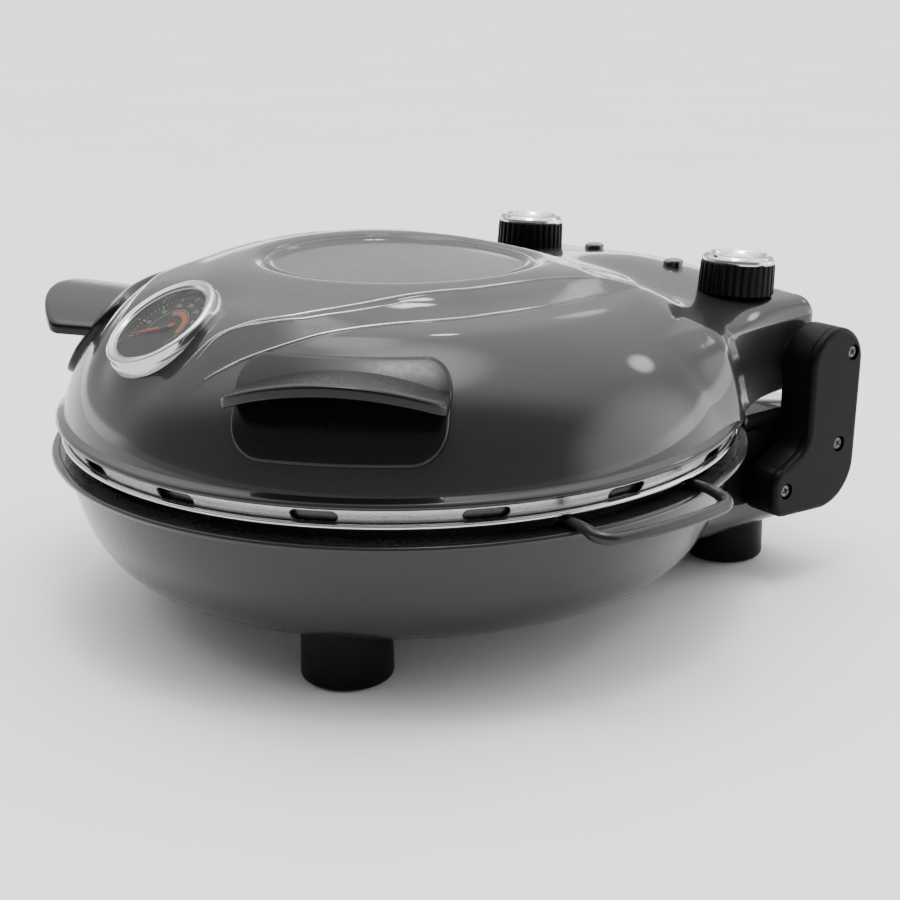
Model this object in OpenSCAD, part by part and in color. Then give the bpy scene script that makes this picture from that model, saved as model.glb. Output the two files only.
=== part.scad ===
// Electric pizza maker: a round clamshell cooker with a domed lid that tips back on two hinge
// towers. Millimetres, +Z up, the front of the cooker faces -Y and the user's right is +X.
// The origin lies on the table, under the centre of the whole cooker.

/* [Base] */
// Radius of the rolled rim around the base
rim_r = 175; // [172:0.5:180]
// Height of the top of the rolled rim
rim_z = 82.5; // [82:0.1:83]
// Radius of the flat floor of the bowl
bowl_floor_r = 126.7; // [122:0.1:128]
// Height of the floor of the bowl above the table
bowl_floor_z = 25; // [24:0.5:26]
// Thickness of the base shell
base_wall = 2.2; // [1.6:0.1:2.4]
// Half of the width of the squared tail behind the bowl
tail_half_w = 108.5; // [108:0.1:109]
// Distance from the cooking axis to the back of the tail
tail_rear_y = 189; // [187:0.5:190]
// Height of the underside of the tail
tail_low_z = 20; // [19:0.5:22]
// Height of the deck on top of the tail
tail_top_z = 86; // [85:0.1:86.5]
// Radius of a foot at its bottom
foot_r = 21.3; // [20.5:0.1:22]
// Sideways distance of each foot from the middle
foot_x = 82; // [78:0.5:84]

/* [Cooking chamber] */
// Radius of the round baking stone
stone_r = 152.5; // [148:0.5:153]
// Thickness of the baking stone
stone_t = 10; // [8:0.5:10]
// Radius of the tube of each heating element
heater_tube_r = 3.3; // [3:0.1:3.5]
// Radius of the ring of the lower heating element
lower_ring_r = 110; // [100:1:115]
// Radius of the ring of the upper heating element
upper_ring_r = 105; // [103:1:108]
// Distance from the cooking axis to the grip bar of a wire tray handle
tray_grip_r = 190.7; // [188:0.1:192]
// Radius of the wire of the tray handles
wire_r = 2.3; // [2:0.1:2.4]

/* [Lid] */
// Height of the top of the lid
lid_top_z = 169.8; // [168:0.1:172]
// Radius of the flat crown of the lid
crown_r = 62; // [58:1:64]
// Depth by which the flanks lie below the raised centre spine
spine_rise = 3; // [1:0.5:4]
// Outer radius of the brim of the lid
brim_r = 172.1; // [171.9:0.1:172.3]
// Thickness of the lid shell
lid_wall = 2; // [1.6:0.1:2.2]
// Number of slots in the vent band
vent_slots = 16; // [12:1:18]
// Width of a vent slot
slot_w = 20.5; // [16:0.5:22]
// Half of the width of the control housing at the back of the lid
housing_half_w = 107.5; // [107:0.1:107.5]
// Distance from the cooking axis to the back of the control housing
housing_rear_y = 193; // [192:0.5:193]

/* [Hinge] */
// Distance of the hinge axis behind the cooking axis
hinge_y = 178; // [177:0.5:179]
// Height of the hinge axis
hinge_z = 112; // [111:0.5:113]
// Radius of the hinge pins
pin_r = 5; // [4.5:0.1:5.5]
// Radial play of the pivot brackets on the hinge pins
pin_play = 0.05; // [0.02:0.01:0.09]
// Sideways distance of the inner faces of the hinge towers
tower_x = 112.5; // [112.3:0.1:113]
// Thickness of the body of a hinge tower
tower_t = 17; // [16:0.5:18]
// Thickness of the cover of a hinge tower
cover_t = 4.5; // [4:0.1:5]

/* [Controls] */
// Sideways distance of each knob from the middle
knob_x = 82.7; // [80:0.1:83]
// Distance of the knobs behind the cooking axis
knob_y = 154.3; // [153:0.1:156]
// Height of the round seat under each knob
knob_seat_z = 144; // [143:0.1:145]
// Angle by which the knobs lean backwards
knob_lean = 3.5; // [0:0.5:5]
// Radius of the grip of a knob
knob_r = 19; // [18:0.1:19.5]
// Number of grooves round a knob
knob_grooves = 30; // [20:1:36]
// Sideways distance of each indicator lamp from the middle
lamp_x = 31.7; // [28:0.1:36]
// Radius of an indicator lens
lamp_r = 5.5; // [4:0.1:6]

/* [Thermometer] */
// Distance of the face of the thermometer in front of the cooking axis
gauge_y = 132.6; // [131:0.1:134]
// Height of the middle of the thermometer's face
gauge_z = 155.3; // [154.5:0.1:156]
// Angle by which the face of the thermometer tips forwards
gauge_tilt = 32.3; // [31:0.1:34]
// Outer radius of the thermometer's bezel at its face
gauge_r = 28.1; // [27.5:0.1:29]

/* [Lid handles] */
// Angle of each lid handle round the lid, from the front
handle_angle = 45; // [43:0.5:47]
// Distance from the cooking axis to the front edge of a grip
grip_reach = 180; // [175:1:185]
// Height of the middle of a grip's front edge
grip_z = 151; // [149:0.5:153]
// Half of the width of a grip
grip_half_w = 46.5; // [44:0.5:48]

/* [Hidden] */
$fn = 96;
EPS = 0.01;
BIG = 400;

// The cooking axis stands in front of the origin, which is the middle of the whole cooker.
tower_top_r = 19;
axis_y = -(hinge_y + tower_top_r - rim_r) / 2;

paint = "#5c5e60";
black_plastic = "#1b1b1c";
black_enamel = "#161616";
bright_steel = "#c9cbcd";
dull_steel = "#9a9c9e";
stone_colour = "#cdb892";

bowl_neck_r = rim_r - 7.5;
bowl_neck_z = rim_z - 2.8;
shelf_r = rim_r - 4;
shelf_z = rim_z - 1.1;
liner_t = 1;
ledge_z = 71;
ledge_outer_r = 160;
ledge_inner_r = 149;
pit_r = 146;
pit_z = 53;
lower_heater_z = 61;
heater_leg_x = 16;
heater_bend_r = 9;
tray_t = 1.2;
tray_wall_r = 155.5;
stone_z = ledge_z + tray_t;
wire_z = rim_z + wire_r + 0.2;
tray_loop_angle = 11.6;
wire_bend_r = 7;
wire_root_r = tray_wall_r + 0.2 + wire_r;
foot_front_y = -90;
foot_rear_y = 156;
foot_bottom_z = 0.6;
foot_screw_r = 2;
tail_front_y = 99;
bottom_plate_r = 97;
bottom_plate_t = 1.4;
gland_x = -60;
gland_z = 50;
gland_bore_r = 3.75;

dome_foot_z = 83.2;
dome_rise = lid_top_z - dome_foot_z;
dome_flank = 106.9;
dome_steps = 16;
crease_angle = 11;
dip_start_r = 125;
dip_width = 30;
brim_low_z = 96.8;
brim_inner_r = brim_r - 1.7;
reflector_t = 0.8;
reflector_skirt_r = 164;
reflector_z = 95;
reflector_rise = 40;
reflector_crown_r = 60;
ring_r = 168.3;
ring_z = 88.9;
ring_tube_r = 1.2;
band_t = 0.8;
upper_heater_z = 112;
groove_r = 67;
housing_low_z = 96;
housing_front_y = 95;
housing_front_z = 157;
housing_edge_z = 142;
housing_rear_z = 148;
housing_round = 12;
boss_at = 52;

bracket_x = tail_half_w;
pin_inner_x = 97;
pin_outer_x = tower_x + tower_t - 3.5;
pivot_plate_x = 96.5;
tower_wall = 3;
screw_spots = [[189, 117], [183, 69], [144, 51]];

knob_skirt_h = 16.4;
knob_gap = 0.6;
cap_h = 4.2;
shaft_r = 3;
seat_r = 21.5;
lamp_y = 160.4;
lamp_low_z = 141;
lamp_h = 12.4;

glass_r = 23.1;
case_r = 24.3;
case_depth = 15;
stem_length = 42;
handle_plate_t = 3.5;
handle_low_z = 112.6;
handle_high_z = 150;
grip_t = 3.8;
grip_arch_r = 122;
grip_plan_r = 81;
grip_corner_r = 7;
grip_rise = 6;

// ---- helpers ----

// Moves a piece from the cooking axis to its place in the part's own frame.
module on_axis() {
  translate([0, axis_y, 0]) children();
}

// Makes the mirrored piece for the left side.
module on_side(side) {
  if (side < 0) mirror([1, 0, 0]) children();
  else children();
}

// Points of an arc about (x, y), from angle a to angle b.
function arc(x, y, r, a, b, n = 8) =
  [for (i = [0:n]) let (t = a + (b - a) * i / n) [x + r * cos(t), y + r * sin(t)]];

function clamp01(t) = max(0, min(1, t));
function ease(t) = let (c = clamp01(t)) c * c * (3 - 2 * c);

// Extrudes an outline drawn in (y, z) sideways, from x0 to x1.
module extrude_x(x0, x1) {
  translate([x0, 0, 0])
    rotate([90, 0, 90])
      linear_extrude(height = x1 - x0)
        children();
}

// Extrudes an outline drawn in (x, z) backwards, from y0 to y1.
module extrude_y(y0, y1) {
  translate([0, y1, 0])
    rotate([90, 0, 0])
      linear_extrude(height = y1 - y0)
        children();
}

// A cylinder along X.
module rod_x(x0, x1, y, z, r) {
  translate([x0, y, z])
    rotate([0, 90, 0])
      cylinder(r = r, h = x1 - x0);
}

// A straight round rod between two points.
module rod(a, b, r) {
  d = b - a;
  translate(a)
    rotate([0, acos(d[2] / norm(d)), atan2(d[1], d[0])])
      cylinder(r = r, h = norm(d), $fn = 32);
}

// A ring of round section.
module torus(ring, tube, z) {
  translate([0, 0, z])
    rotate_extrude()
      translate([ring, 0])
        circle(r = tube, $fn = 32);
}

module box(x0, x1, y0, y1, z0, z1) {
  translate([x0, y0, z0])
    cube([x1 - x0, y1 - y0, z1 - z0]);
}

// ---- base ----

function bowl_point(u, inset) = [
  bowl_floor_r + (bowl_neck_r - bowl_floor_r - inset) * pow(cos(u), 0.66),
  bowl_neck_z - (bowl_neck_z - bowl_floor_z - inset) * pow(sin(u), 1.34)
];

// Closed solid of the bowl below its neck.
module bowl_solid(inset) {
  rotate_extrude()
    polygon(concat(
      [[0, bowl_neck_z + EPS], [bowl_neck_r - inset, bowl_neck_z + EPS]],
      [for (i = [0:14]) bowl_point(90 * i / 14, inset)],
      [[0, bowl_floor_z + inset]]
    ));
}

// Closed solid of the tail behind the bowl.
module tail_solid(inset) {
  side = 14;
  corner = 10;
  w = tail_half_w - inset;
  rear = tail_rear_y - inset;
  low = tail_low_z + inset;
  top = tail_top_z - inset;
  intersection() {
    extrude_x(-w, w)
      polygon(concat(
        [[90, top], [90, 70], [tail_front_y, bowl_floor_z + inset], [tail_front_y + 24, low]],
        arc(rear - corner, low + corner, corner, 270, 360),
        [[rear, top - 3], [rear - 3, top]]
      ));
    extrude_y(80, BIG)
      polygon(concat(
        arc(w - side, low + side, side, 270, 360),
        [[w, top - 2], [w - 2, top], [2 - w, top], [-w, top - 2]],
        arc(side - w, low + side, side, 180, 270)
      ));
    linear_extrude(height = BIG)
      polygon(concat(
        [[-w, 80], [w, 80]],
        arc(w - corner, rear - corner, corner, 0, 90),
        arc(corner - w, rear - corner, corner, 90, 180)
      ));
  }
}

function foot_places() = [
  [-foot_x, foot_front_y], [foot_x, foot_front_y], [-foot_x, foot_rear_y], [foot_x, foot_rear_y]
];

module base_shell() {
  bead = 1.4;
  color(paint) on_axis() difference() {
    union() {
      bowl_solid(0);
      tail_solid(0);
      // rolled rim with its inner shelf
      rotate_extrude()
        polygon(concat(
          [[bowl_neck_r - 4, bowl_neck_z - 2], [bowl_neck_r - 0.05, bowl_neck_z - 0.5]],
          arc(rim_r - bead, rim_z - bead, bead, -70, 90),
          [[shelf_r, rim_z], [shelf_r, shelf_z], [bowl_neck_r - 4, shelf_z]]
        ));
    }
    bowl_solid(base_wall);
    tail_solid(base_wall);
    // mouth of the bowl, which also trims the deck of the tail round the rim
    translate([0, 0, bowl_neck_z - 5])
      cylinder(r = bowl_neck_r - base_wall, h = 40);
    translate([0, 0, shelf_z])
      cylinder(r = shelf_r + 0.2, h = 40);
    // opening that the bottom plate covers
    translate([0, 0, 10])
      cylinder(r = bottom_plate_r - 9, h = 30);
    for (p = foot_places())
      translate([p[0], p[1], 10])
        cylinder(r = foot_screw_r, h = 30, $fn = 32);
    for (i = [0:5])
      rotate([0, 0, 30 + 60 * i])
        translate([bottom_plate_r - 4.5, 0, 10])
          cylinder(r = 1.5, h = 30, $fn = 32);
    // hole of the cord gland
    translate([gland_x, tail_rear_y + 1, gland_z])
      rotate([90, 0, 0])
        cylinder(r = 7, h = 10, $fn = 48);
  }
}

module bottom_plate() {
  color(dull_steel) on_axis() difference() {
    translate([0, 0, bowl_floor_z - bottom_plate_t])
      cylinder(r = bottom_plate_r, h = bottom_plate_t);
    for (i = [0:5])
      rotate([0, 0, 30 + 60 * i])
        translate([bottom_plate_r - 4.5, 0, 10])
          cylinder(r = 1.5, h = 30, $fn = 32);
    for (side = [-1, 1], i = [-3:3])
      box(side * 45 - 18, side * 45 + 18, 12 * i - 2, 12 * i + 2, 10, 40);
  }
}

module bottom_screws() {
  color(dull_steel) on_axis()
    for (i = [0:5])
      rotate([0, 0, 30 + 60 * i])
        translate([bottom_plate_r - 4.5, 0, 0]) {
          translate([0, 0, bowl_floor_z - bottom_plate_t - 1.8])
            cylinder(r = 3, h = 1.8, $fn = 32);
          translate([0, 0, bowl_floor_z - bottom_plate_t])
            cylinder(r = 1.5, h = 7, $fn = 32);
        }
}

module base_liner() {
  t = liner_t;
  color(black_enamel) on_axis() difference() {
    rotate_extrude()
      polygon([
        [0, pit_z], [pit_r - 4, pit_z], [pit_r, pit_z + 4], [ledge_inner_r, ledge_z - t],
        [ledge_outer_r, ledge_z - t], [163, shelf_z - 1.5], [164.6, shelf_z],
        [shelf_r - 0.2, shelf_z], [shelf_r - 0.2, shelf_z + t], [164, shelf_z + t],
        [162, shelf_z - 1], [ledge_outer_r - 0.9, ledge_z], [ledge_inner_r - 0.5, ledge_z],
        [pit_r - t, pit_z + 4.4], [pit_r - 4.4, pit_z + t], [0, pit_z + t]
      ]);
    for (side = [-1, 1])
      heater_leg(side, lower_heater_z, 100, 180, heater_tube_r);
  }
}

// A bend in a tube. It is a hair thinner than the straight parts and runs on inside them, so that
// each tube is one solid.
module bent_tube(bend, angle, r) {
  overlap = 1.2;
  rotate([0, 0, -overlap])
    rotate_extrude(angle = angle + 2 * overlap)
      translate([bend, 0])
        circle(r = r - 0.03, $fn = 32);
}

// One straight end of a heating element, which runs backwards out of the chamber.
module heater_leg(side, z, y0, y1, r) {
  translate([side * heater_leg_x, y0, z])
    rotate([-90, 0, 0])
      cylinder(r = r, h = y1 - y0, $fn = 32);
}

// An open ring whose two ends bend outwards into a pair of legs.
module heater_tube(ring, z, leg_end) {
  bend = heater_bend_r;
  gap = asin((heater_leg_x + bend) / (ring + bend));
  bend_y = (ring + bend) * cos(gap);
  rotate([0, 0, 90 + gap])
    translate([0, 0, z])
      rotate_extrude(angle = 360 - 2 * gap)
        translate([ring, 0])
          circle(r = heater_tube_r, $fn = 32);
  for (side = [-1, 1]) {
    translate([side * (heater_leg_x + bend), bend_y, z])
      rotate([0, 0, side > 0 ? 180 : 270 + gap])
        bent_tube(bend, 90 - gap, heater_tube_r);
    heater_leg(side, z, bend_y, leg_end, heater_tube_r);
  }
}

module lower_heater() {
  color(dull_steel) on_axis() heater_tube(lower_ring_r, lower_heater_z, 158);
}

module lower_heater_clips() {
  r = heater_tube_r;
  foot_z = pit_z + liner_t;
  color(bright_steel) on_axis()
    for (i = [0:3])
      rotate([0, 0, 45 + 90 * i])
        translate([lower_ring_r, 0, 0])
          difference() {
            union() {
              box(-r - 1.2, r + 1.2, -5, 5, foot_z, lower_heater_z);
              box(-12, 12, -5, 5, foot_z, foot_z + 1.2);
            }
            translate([0, 6, lower_heater_z])
              rotate([90, 0, 0])
                cylinder(r = r + 0.35, h = 12, $fn = 32);
            box(-r, r, -6, 6, foot_z + 1.2, lower_heater_z + 1);
          }
}

module stone_tray() {
  color(dull_steel) on_axis()
    rotate_extrude()
      polygon([
        [0, ledge_z], [tray_wall_r - 1, ledge_z], [tray_wall_r, ledge_z + 1],
        [tray_wall_r, stone_z + 6.6], [tray_wall_r - 1, stone_z + 6.6],
        [tray_wall_r - 1, stone_z], [0, stone_z]
      ]);
}

// Bent wire handle of the tray: two arms over the rim, joined by a grip bar.
module tray_handle(side) {
  turn_angle = asin(wire_bend_r / (tray_grip_r - wire_bend_r));
  grip_angle = tray_loop_angle - turn_angle;
  arm_end = (tray_grip_r - wire_bend_r) * cos(turn_angle);
  drop = 5;
  color(black_enamel) on_axis() on_side(side) {
    translate([0, 0, wire_z])
      rotate([0, 0, -grip_angle])
        rotate_extrude(angle = 2 * grip_angle)
          translate([tray_grip_r, 0])
            circle(r = wire_r, $fn = 32);
    for (end = [-1, 1]) {
      rotate([0, 0, end * grip_angle])
        translate([tray_grip_r - wire_bend_r, 0, wire_z])
          rotate([0, 0, end > 0 ? 0 : -90 - turn_angle])
            bent_tube(wire_bend_r, 90 + turn_angle, wire_r);
      rotate([0, 0, end * tray_loop_angle]) {
        translate([wire_root_r + drop, 0, wire_z])
          rotate([0, 90, 0])
            cylinder(r = wire_r, h = arm_end - wire_root_r - drop, $fn = 32);
        translate([wire_root_r + drop, 0, wire_z - drop])
          rotate([90, 0, 180])
            bent_tube(drop, 90, wire_r);
        translate([wire_root_r, 0, stone_z + 2])
          cylinder(r = wire_r, h = wire_z - drop - stone_z - 2, $fn = 32);
        // welded foot
        box(tray_wall_r, wire_root_r, -4, 4, stone_z + 2, stone_z + 5);
      }
    }
  }
}

module pizza_stone() {
  edge = 1;
  color(stone_colour) on_axis()
    rotate_extrude()
      polygon([
        [0, stone_z], [stone_r - edge, stone_z], [stone_r, stone_z + edge],
        [stone_r, stone_z + stone_t - edge], [stone_r - edge, stone_z + stone_t],
        [0, stone_z + stone_t]
      ]);
}

module foot(place) {
  pad_r = 17.2;
  color(black_plastic) on_axis() difference() {
    translate([place[0], place[1], foot_bottom_z])
      cylinder(r1 = foot_r, r2 = foot_r - 0.8, h = 32);
    bowl_solid(0);
    tail_solid(0);
    box(-BIG, BIG, -BIG, 118, bowl_floor_z, BIG);
    translate([place[0], place[1], 0]) {
      cylinder(r = pad_r, h = 2.6);
      cylinder(r = 5, h = 9, $fn = 32);
      cylinder(r = foot_screw_r, h = 60, $fn = 32);
    }
  }
}

module foot_pads() {
  color(black_enamel) on_axis()
    for (p = foot_places())
      translate([p[0], p[1], 0])
        difference() {
          cylinder(r = 17.2, h = 2.6);
          translate([0, 0, -1]) cylinder(r = 6, h = 5, $fn = 32);
        }
}

module foot_screws() {
  color(dull_steel) on_axis()
    for (p = foot_places())
      translate([p[0], p[1], 9]) {
        translate([0, 0, -3]) cylinder(r = 4, h = 3, $fn = 32);
        cylinder(r = foot_screw_r, h = 21, $fn = 32);
      }
}

// ---- hinge ----

// Outline of a hinge tower in (y, z), drawn in by d: a round head on the hinge axis, a column,
// and a toe that reaches forwards along the base.
function tower_outline(d) = concat(
  arc(hinge_y, hinge_z, tower_top_r - d, 0, 180, 20),
  arc(hinge_y - 33, hinge_z - 32, 14 + d, 0, -75),
  arc(143, 55, 8 - d, 90, 180),
  arc(144.5, 46.5, 9.5 - d, 180, 270),
  arc(172.5, 59.5, 24 - d, 270, 360, 12)
);

// Flat plate that ties a tower to the side of the base.
module hinge_bracket(side) {
  color(black_enamel) on_axis() on_side(side) difference() {
    extrude_x(bracket_x, tower_x)
      polygon(concat(
        arc(180, 48, 8, 270, 360),
        arc(180, 71, 8, 0, 90),
        arc(135, 67, 12, 90, 180),
        arc(133, 50, 10, 180, 270)
      ));
    bowl_solid(0);
    translate([0, 0, bowl_neck_z])
      cylinder(r = rim_r + 0.3, h = 10);
    for (spot = [[150, 60], [176, 60]])
      rod_x(bracket_x - 1, tower_x + 1, spot[0], spot[1], 2.2, $fn = 32);
  }
}

module hinge_arm(side) {
  floor_x = tower_x + tower_wall;
  outer_x = tower_x + tower_t;
  color(black_plastic) on_axis() on_side(side) difference() {
    union() {
      difference() {
        extrude_x(tower_x, outer_x) polygon(tower_outline(0));
        extrude_x(floor_x, outer_x + 1) polygon(tower_outline(tower_wall));
      }
      rod_x(tower_x, outer_x, hinge_y, hinge_z, 9);
      intersection() {
        extrude_x(tower_x, outer_x) polygon(tower_outline(0));
        for (s = screw_spots)
          rod_x(tower_x, outer_x, s[0], s[1], 5, $fn = 32);
      }
    }
    rod_x(tower_x - 1, pin_outer_x, hinge_y, hinge_z, pin_r);
    for (s = screw_spots)
      rod_x(tower_x + 5, outer_x + 1, s[0], s[1], 1.6, $fn = 32);
  }
}

module hinge_cover(side) {
  inner_x = tower_x + tower_t;
  outer_x = inner_x + cover_t;
  color(black_plastic) on_axis() on_side(side) difference() {
    union() {
      extrude_x(inner_x, outer_x - 1.4) polygon(tower_outline(0));
      extrude_x(outer_x - 1.4, outer_x - 0.5) polygon(tower_outline(0.5));
      extrude_x(outer_x - 0.5, outer_x) polygon(tower_outline(1.4));
    }
    for (s = screw_spots) {
      rod_x(inner_x - 1, outer_x + 1, s[0], s[1], 1.6, $fn = 32);
      rod_x(outer_x - 2.6, outer_x + 1, s[0], s[1], 4.2, $fn = 32);
    }
  }
}

module hinge_screws(side) {
  head_x = tower_x + tower_t + cover_t - 2.6;
  color(bright_steel) on_axis() on_side(side)
    for (s = screw_spots)
      difference() {
        union() {
          rod_x(head_x, head_x + 1.8, s[0], s[1], 3.2, $fn = 32);
          rod_x(tower_x + 6, head_x, s[0], s[1], 1.6, $fn = 32);
        }
        translate([head_x + 2, s[0], s[1]])
          for (a = [0, 90])
            rotate([a, 0, 0])
              cube([1.6, 0.8, 4], center = true);
      }
}

// Steel pin with a collar that keeps the lid centred between the towers.
module hinge_pin(side) {
  color(bright_steel) on_axis() on_side(side) {
    rod_x(pin_inner_x, pin_outer_x, hinge_y, hinge_z, pin_r);
    rod_x(housing_half_w + 0.5, tower_x, hinge_y, hinge_z, pin_r + 3.5);
  }
}

module cord_gland() {
  color(black_plastic) on_axis()
    translate([gland_x, tail_rear_y, gland_z])
      rotate([90, 0, 0])
        difference() {
          union() {
            translate([0, 0, -3]) cylinder(r = 10, h = 3, $fn = 48);
            translate([0, 0, -5]) cylinder(r1 = 6.5, r2 = 8, h = 2, $fn = 48);
            cylinder(r = 7, h = base_wall + 6, $fn = 48);
            translate([0, 0, base_wall]) cylinder(r = 9.5, h = 3, $fn = 48);
          }
          translate([0, 0, -8]) cylinder(r = gland_bore_r, h = 30, $fn = 48);
        }
}

module terminal_block() {
  color("#e4e2da") on_axis() difference() {
    box(-26, 26, 158, 174, tail_low_z + base_wall, tail_low_z + base_wall + 14);
    for (i = [-2:2])
      translate([10 * i, 170, tail_low_z + base_wall + 6])
        cylinder(r = 2.6, h = 20, $fn = 32);
  }
}

// Leads from the lower heating element down to the terminal block.
module base_wiring() {
  top_z = lower_heater_z - heater_tube_r;
  block_top_z = tail_low_z + base_wall + 14;
  color("#b8b4a8") on_axis()
    for (side = [-1, 1]) {
      box(side * 16 - 4, side * 16 + 4, 150, 158, top_z - 2, top_z);
      rod([side * 16, 154, top_z - 1], [side * 15, 162, block_top_z + 1], 1.5);
      box(side * 15 - 3, side * 15 + 3, 160, 166, block_top_z, block_top_z + 2);
    }
}

// ---- lid ----

function dip_at(r, dip) = dip * ease((dip_start_r - r) / dip_width);

// Outline of the dome, set in by inset, and lowered by dip over its crown.
function dome_points(inset, dip) = [
  for (i = [0:dome_steps])
    let (
      u = crease_angle + (90 - crease_angle) * i / dome_steps,
      r = crown_r + (dome_flank - inset) * pow(cos(u), 0.935),
      z = dome_foot_z + (dome_rise - inset) * pow(sin(u), 0.909)
    )
    [r, z - dip_at(r, dip)]
];

// Closed solid under the dome, from the height low.
module dome_solid(inset, dip, low) {
  p = dome_points(inset, dip);
  rotate_extrude()
    polygon(concat([[0, low], [p[0][0], low]], p, [[0, p[dome_steps][1]]]));
}

// One cross-section of the control housing, in (x, z).
function housing_section(w, crown, edge, low) =
  let (
    r = 9,
    top = crown - (crown - edge) * pow((w - r) / w, 2)
  )
  concat(
    [[-w, low], [w, low]],
    arc(w - r, top - r, r, 0, 72, 4),
    [for (i = [-6:6]) let (x = -i * (w - r) / 6.5) [x, crown - (crown - edge) * pow(x / w, 2)]],
    arc(r - w, top - r, r, 108, 180, 4)
  );

// The control housing: sections that sink and close in round its rear edge.
module housing_solid(inset) {
  span = housing_rear_y - housing_round - housing_front_y;
  hull()
    for (a = [-1, 0, 30, 60, 90])
      let (
        y = a < 0 ? housing_front_y : housing_rear_y - housing_round * (1 - sin(a)) - inset,
        crown = a < 0 ? housing_front_z : housing_rear_z - housing_round * (1 - cos(a)),
        edge = a < 0 ? housing_edge_z : housing_edge_z - 2 - housing_round * (1 - cos(a)),
        w = a < 0 ? housing_half_w : housing_half_w - 4 * (1 - cos(a))
      )
      extrude_y(y - 0.05, y)
        polygon(housing_section(w - inset, crown - inset, edge - inset, housing_low_z - inset));
}

// Plan of the raised centre spine, widest beside the crown and pointed at its rear.
function spine_half_width(y, grow) =
  let (t = clamp01((y + 125) / 165))
  50 + 33 * sin(90 * t) + grow * ease(1.4 * (80 - y) / 60);

module spine_plan(grow) {
  ys = [for (i = [0:14]) -118 + 14 * i];
  right = [for (y = ys) [spine_half_width(y, grow), y]];
  left = [for (i = [14:-1:0]) [-spine_half_width(ys[i], grow), ys[i]]];
  polygon(concat(right, [[60, 110], [-60, 110]], left));
}

// The raised spine along the top of the lid, with a stepped bevel on each side.
module spine() {
  for (step = [[26, 0.7], [13, 0.35], [2, 0]])
    intersection() {
      dome_solid(0, spine_rise * step[1], 120);
      linear_extrude(height = BIG) spine_plan(step[0]);
    }
}

module at_gauge() {
  translate([0, -gauge_y, gauge_z])
    rotate([gauge_tilt, 0, 0])
      children();
}

module at_knob(side) {
  translate([side * knob_x, knob_y, knob_seat_z])
    rotate([-knob_lean, 0, 0])
      children();
}

module at_handle(side) {
  rotate([0, 0, -90 + side * handle_angle])
    children();
}

module lid_shell() {
  color(paint) on_axis() difference() {
    union() {
      dome_solid(0, spine_rise, crease_z());
      housing_solid(0);
      spine();
      // brim under the dome
      rotate_extrude()
        polygon([
          [150, 101.6], [brim_inner_r, 96.8], [brim_r - 1, 96.8], [brim_r, 97.6],
          [brim_r - 0.1, 98.8], [brim_r - 1.5, 99.9], [dome_points(0, 0)[0][0], crease_z() + 0.1],
          [150, crease_z() + 0.1]
        ]);
    }
    // inside of the dome and brim
    difference() {
      lid_hollow();
      lid_posts();
    }
    difference() {
      housing_solid(lid_wall);
      for (side = [-1, 1])
        at_knob(side) translate([0, 0, -2]) cylinder(r = seat_r + 2, h = 30);
    }
    lid_cuts();
  }
}

function crease_z() = dome_points(0, 0)[0][1];

// Everything inside the lid's wall, down to below its brim.
module lid_hollow() {
  p = dome_points(lid_wall, spine_rise);
  rotate_extrude()
    polygon(concat(
      [[0, 80], [brim_inner_r, 80], [brim_inner_r, 98.2], [brim_inner_r - 0.8, 99]],
      [[p[0][0] + 0.4, 100.8]], p, [[0, p[dome_steps][1]]]
    ));
}

// Four posts that carry the reflector.
module lid_posts() {
  for (a = [45:90:315])
    rotate([0, 0, a])
      translate([boss_at, 0, reflector_z + reflector_rise])
        cylinder(r = 4, h = 60, $fn = 32);
}

module lid_cuts() {
  for (side = [-1, 1]) {
    at_knob(side) {
      cylinder(r = seat_r, h = 30);
      translate([0, 0, -10]) cylinder(r = 5.2, h = 20, $fn = 32);
    }
    translate([side * lamp_x, lamp_y, lamp_low_z])
      cylinder(r = lamp_r + 0.1, h = 20, $fn = 48);
    at_handle(side)
      for (end = [-1, 1])
        translate([120, 25 * end, 125])
          rotate([0, 90, 0])
            cylinder(r = 2, h = 60, $fn = 32);
  }
  rod_x(-housing_half_w - 2, housing_half_w + 2, hinge_y, hinge_z, pin_r + 1.5);
  at_gauge() translate([0, 0, -40]) cylinder(r = case_r + 0.1, h = 60);
  for (a = [45:90:315])
    rotate([0, 0, a])
      translate([boss_at, 0, reflector_z + reflector_rise - 1])
        cylinder(r = 1.5, h = 14, $fn = 32);
  // groove round the crown panel
  translate([0, 0, lid_top_z])
    rotate_extrude()
      polygon([[groove_r - 1.3, -2.2], [groove_r + 1.3, -2.2], [groove_r + 1.7, 5], [groove_r - 1.7, 5]]);
}

module lid_reflector() {
  t = reflector_t;
  n = 12;
  span = reflector_skirt_r - reflector_crown_r;
  outer = [for (i = [0:n]) let (u = 90 * i / n) [
    reflector_crown_r + span * pow(cos(u), 0.93), reflector_z + reflector_rise * pow(sin(u), 0.9)]];
  inner = [for (i = [n:-1:0]) let (u = 90 * i / n) [
    reflector_crown_r + (span - t) * pow(cos(u), 0.93),
    reflector_z + (reflector_rise - t) * pow(sin(u), 0.9)]];
  color(bright_steel) on_axis() difference() {
    rotate_extrude()
      polygon(concat(
        [[reflector_skirt_r, 89.3], outer[0]], outer,
        [[0, reflector_z + reflector_rise], [0, reflector_z + reflector_rise - t]], inner,
        [[reflector_skirt_r - t, 88.5], [ring_r - ring_tube_r, 88.5], [ring_r - ring_tube_r, 89.3]]
      ));
    for (side = [-1, 1])
      heater_leg(side, upper_heater_z, 90, 180, heater_tube_r);
    at_gauge() translate([0, 0, -60]) cylinder(r = 3, h = 50, $fn = 32);
    for (a = [45:90:315])
      rotate([0, 0, a])
        translate([boss_at, 0, reflector_z + reflector_rise - 10])
          cylinder(r = 1.5, h = 20, $fn = 32);
  }
}

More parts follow.
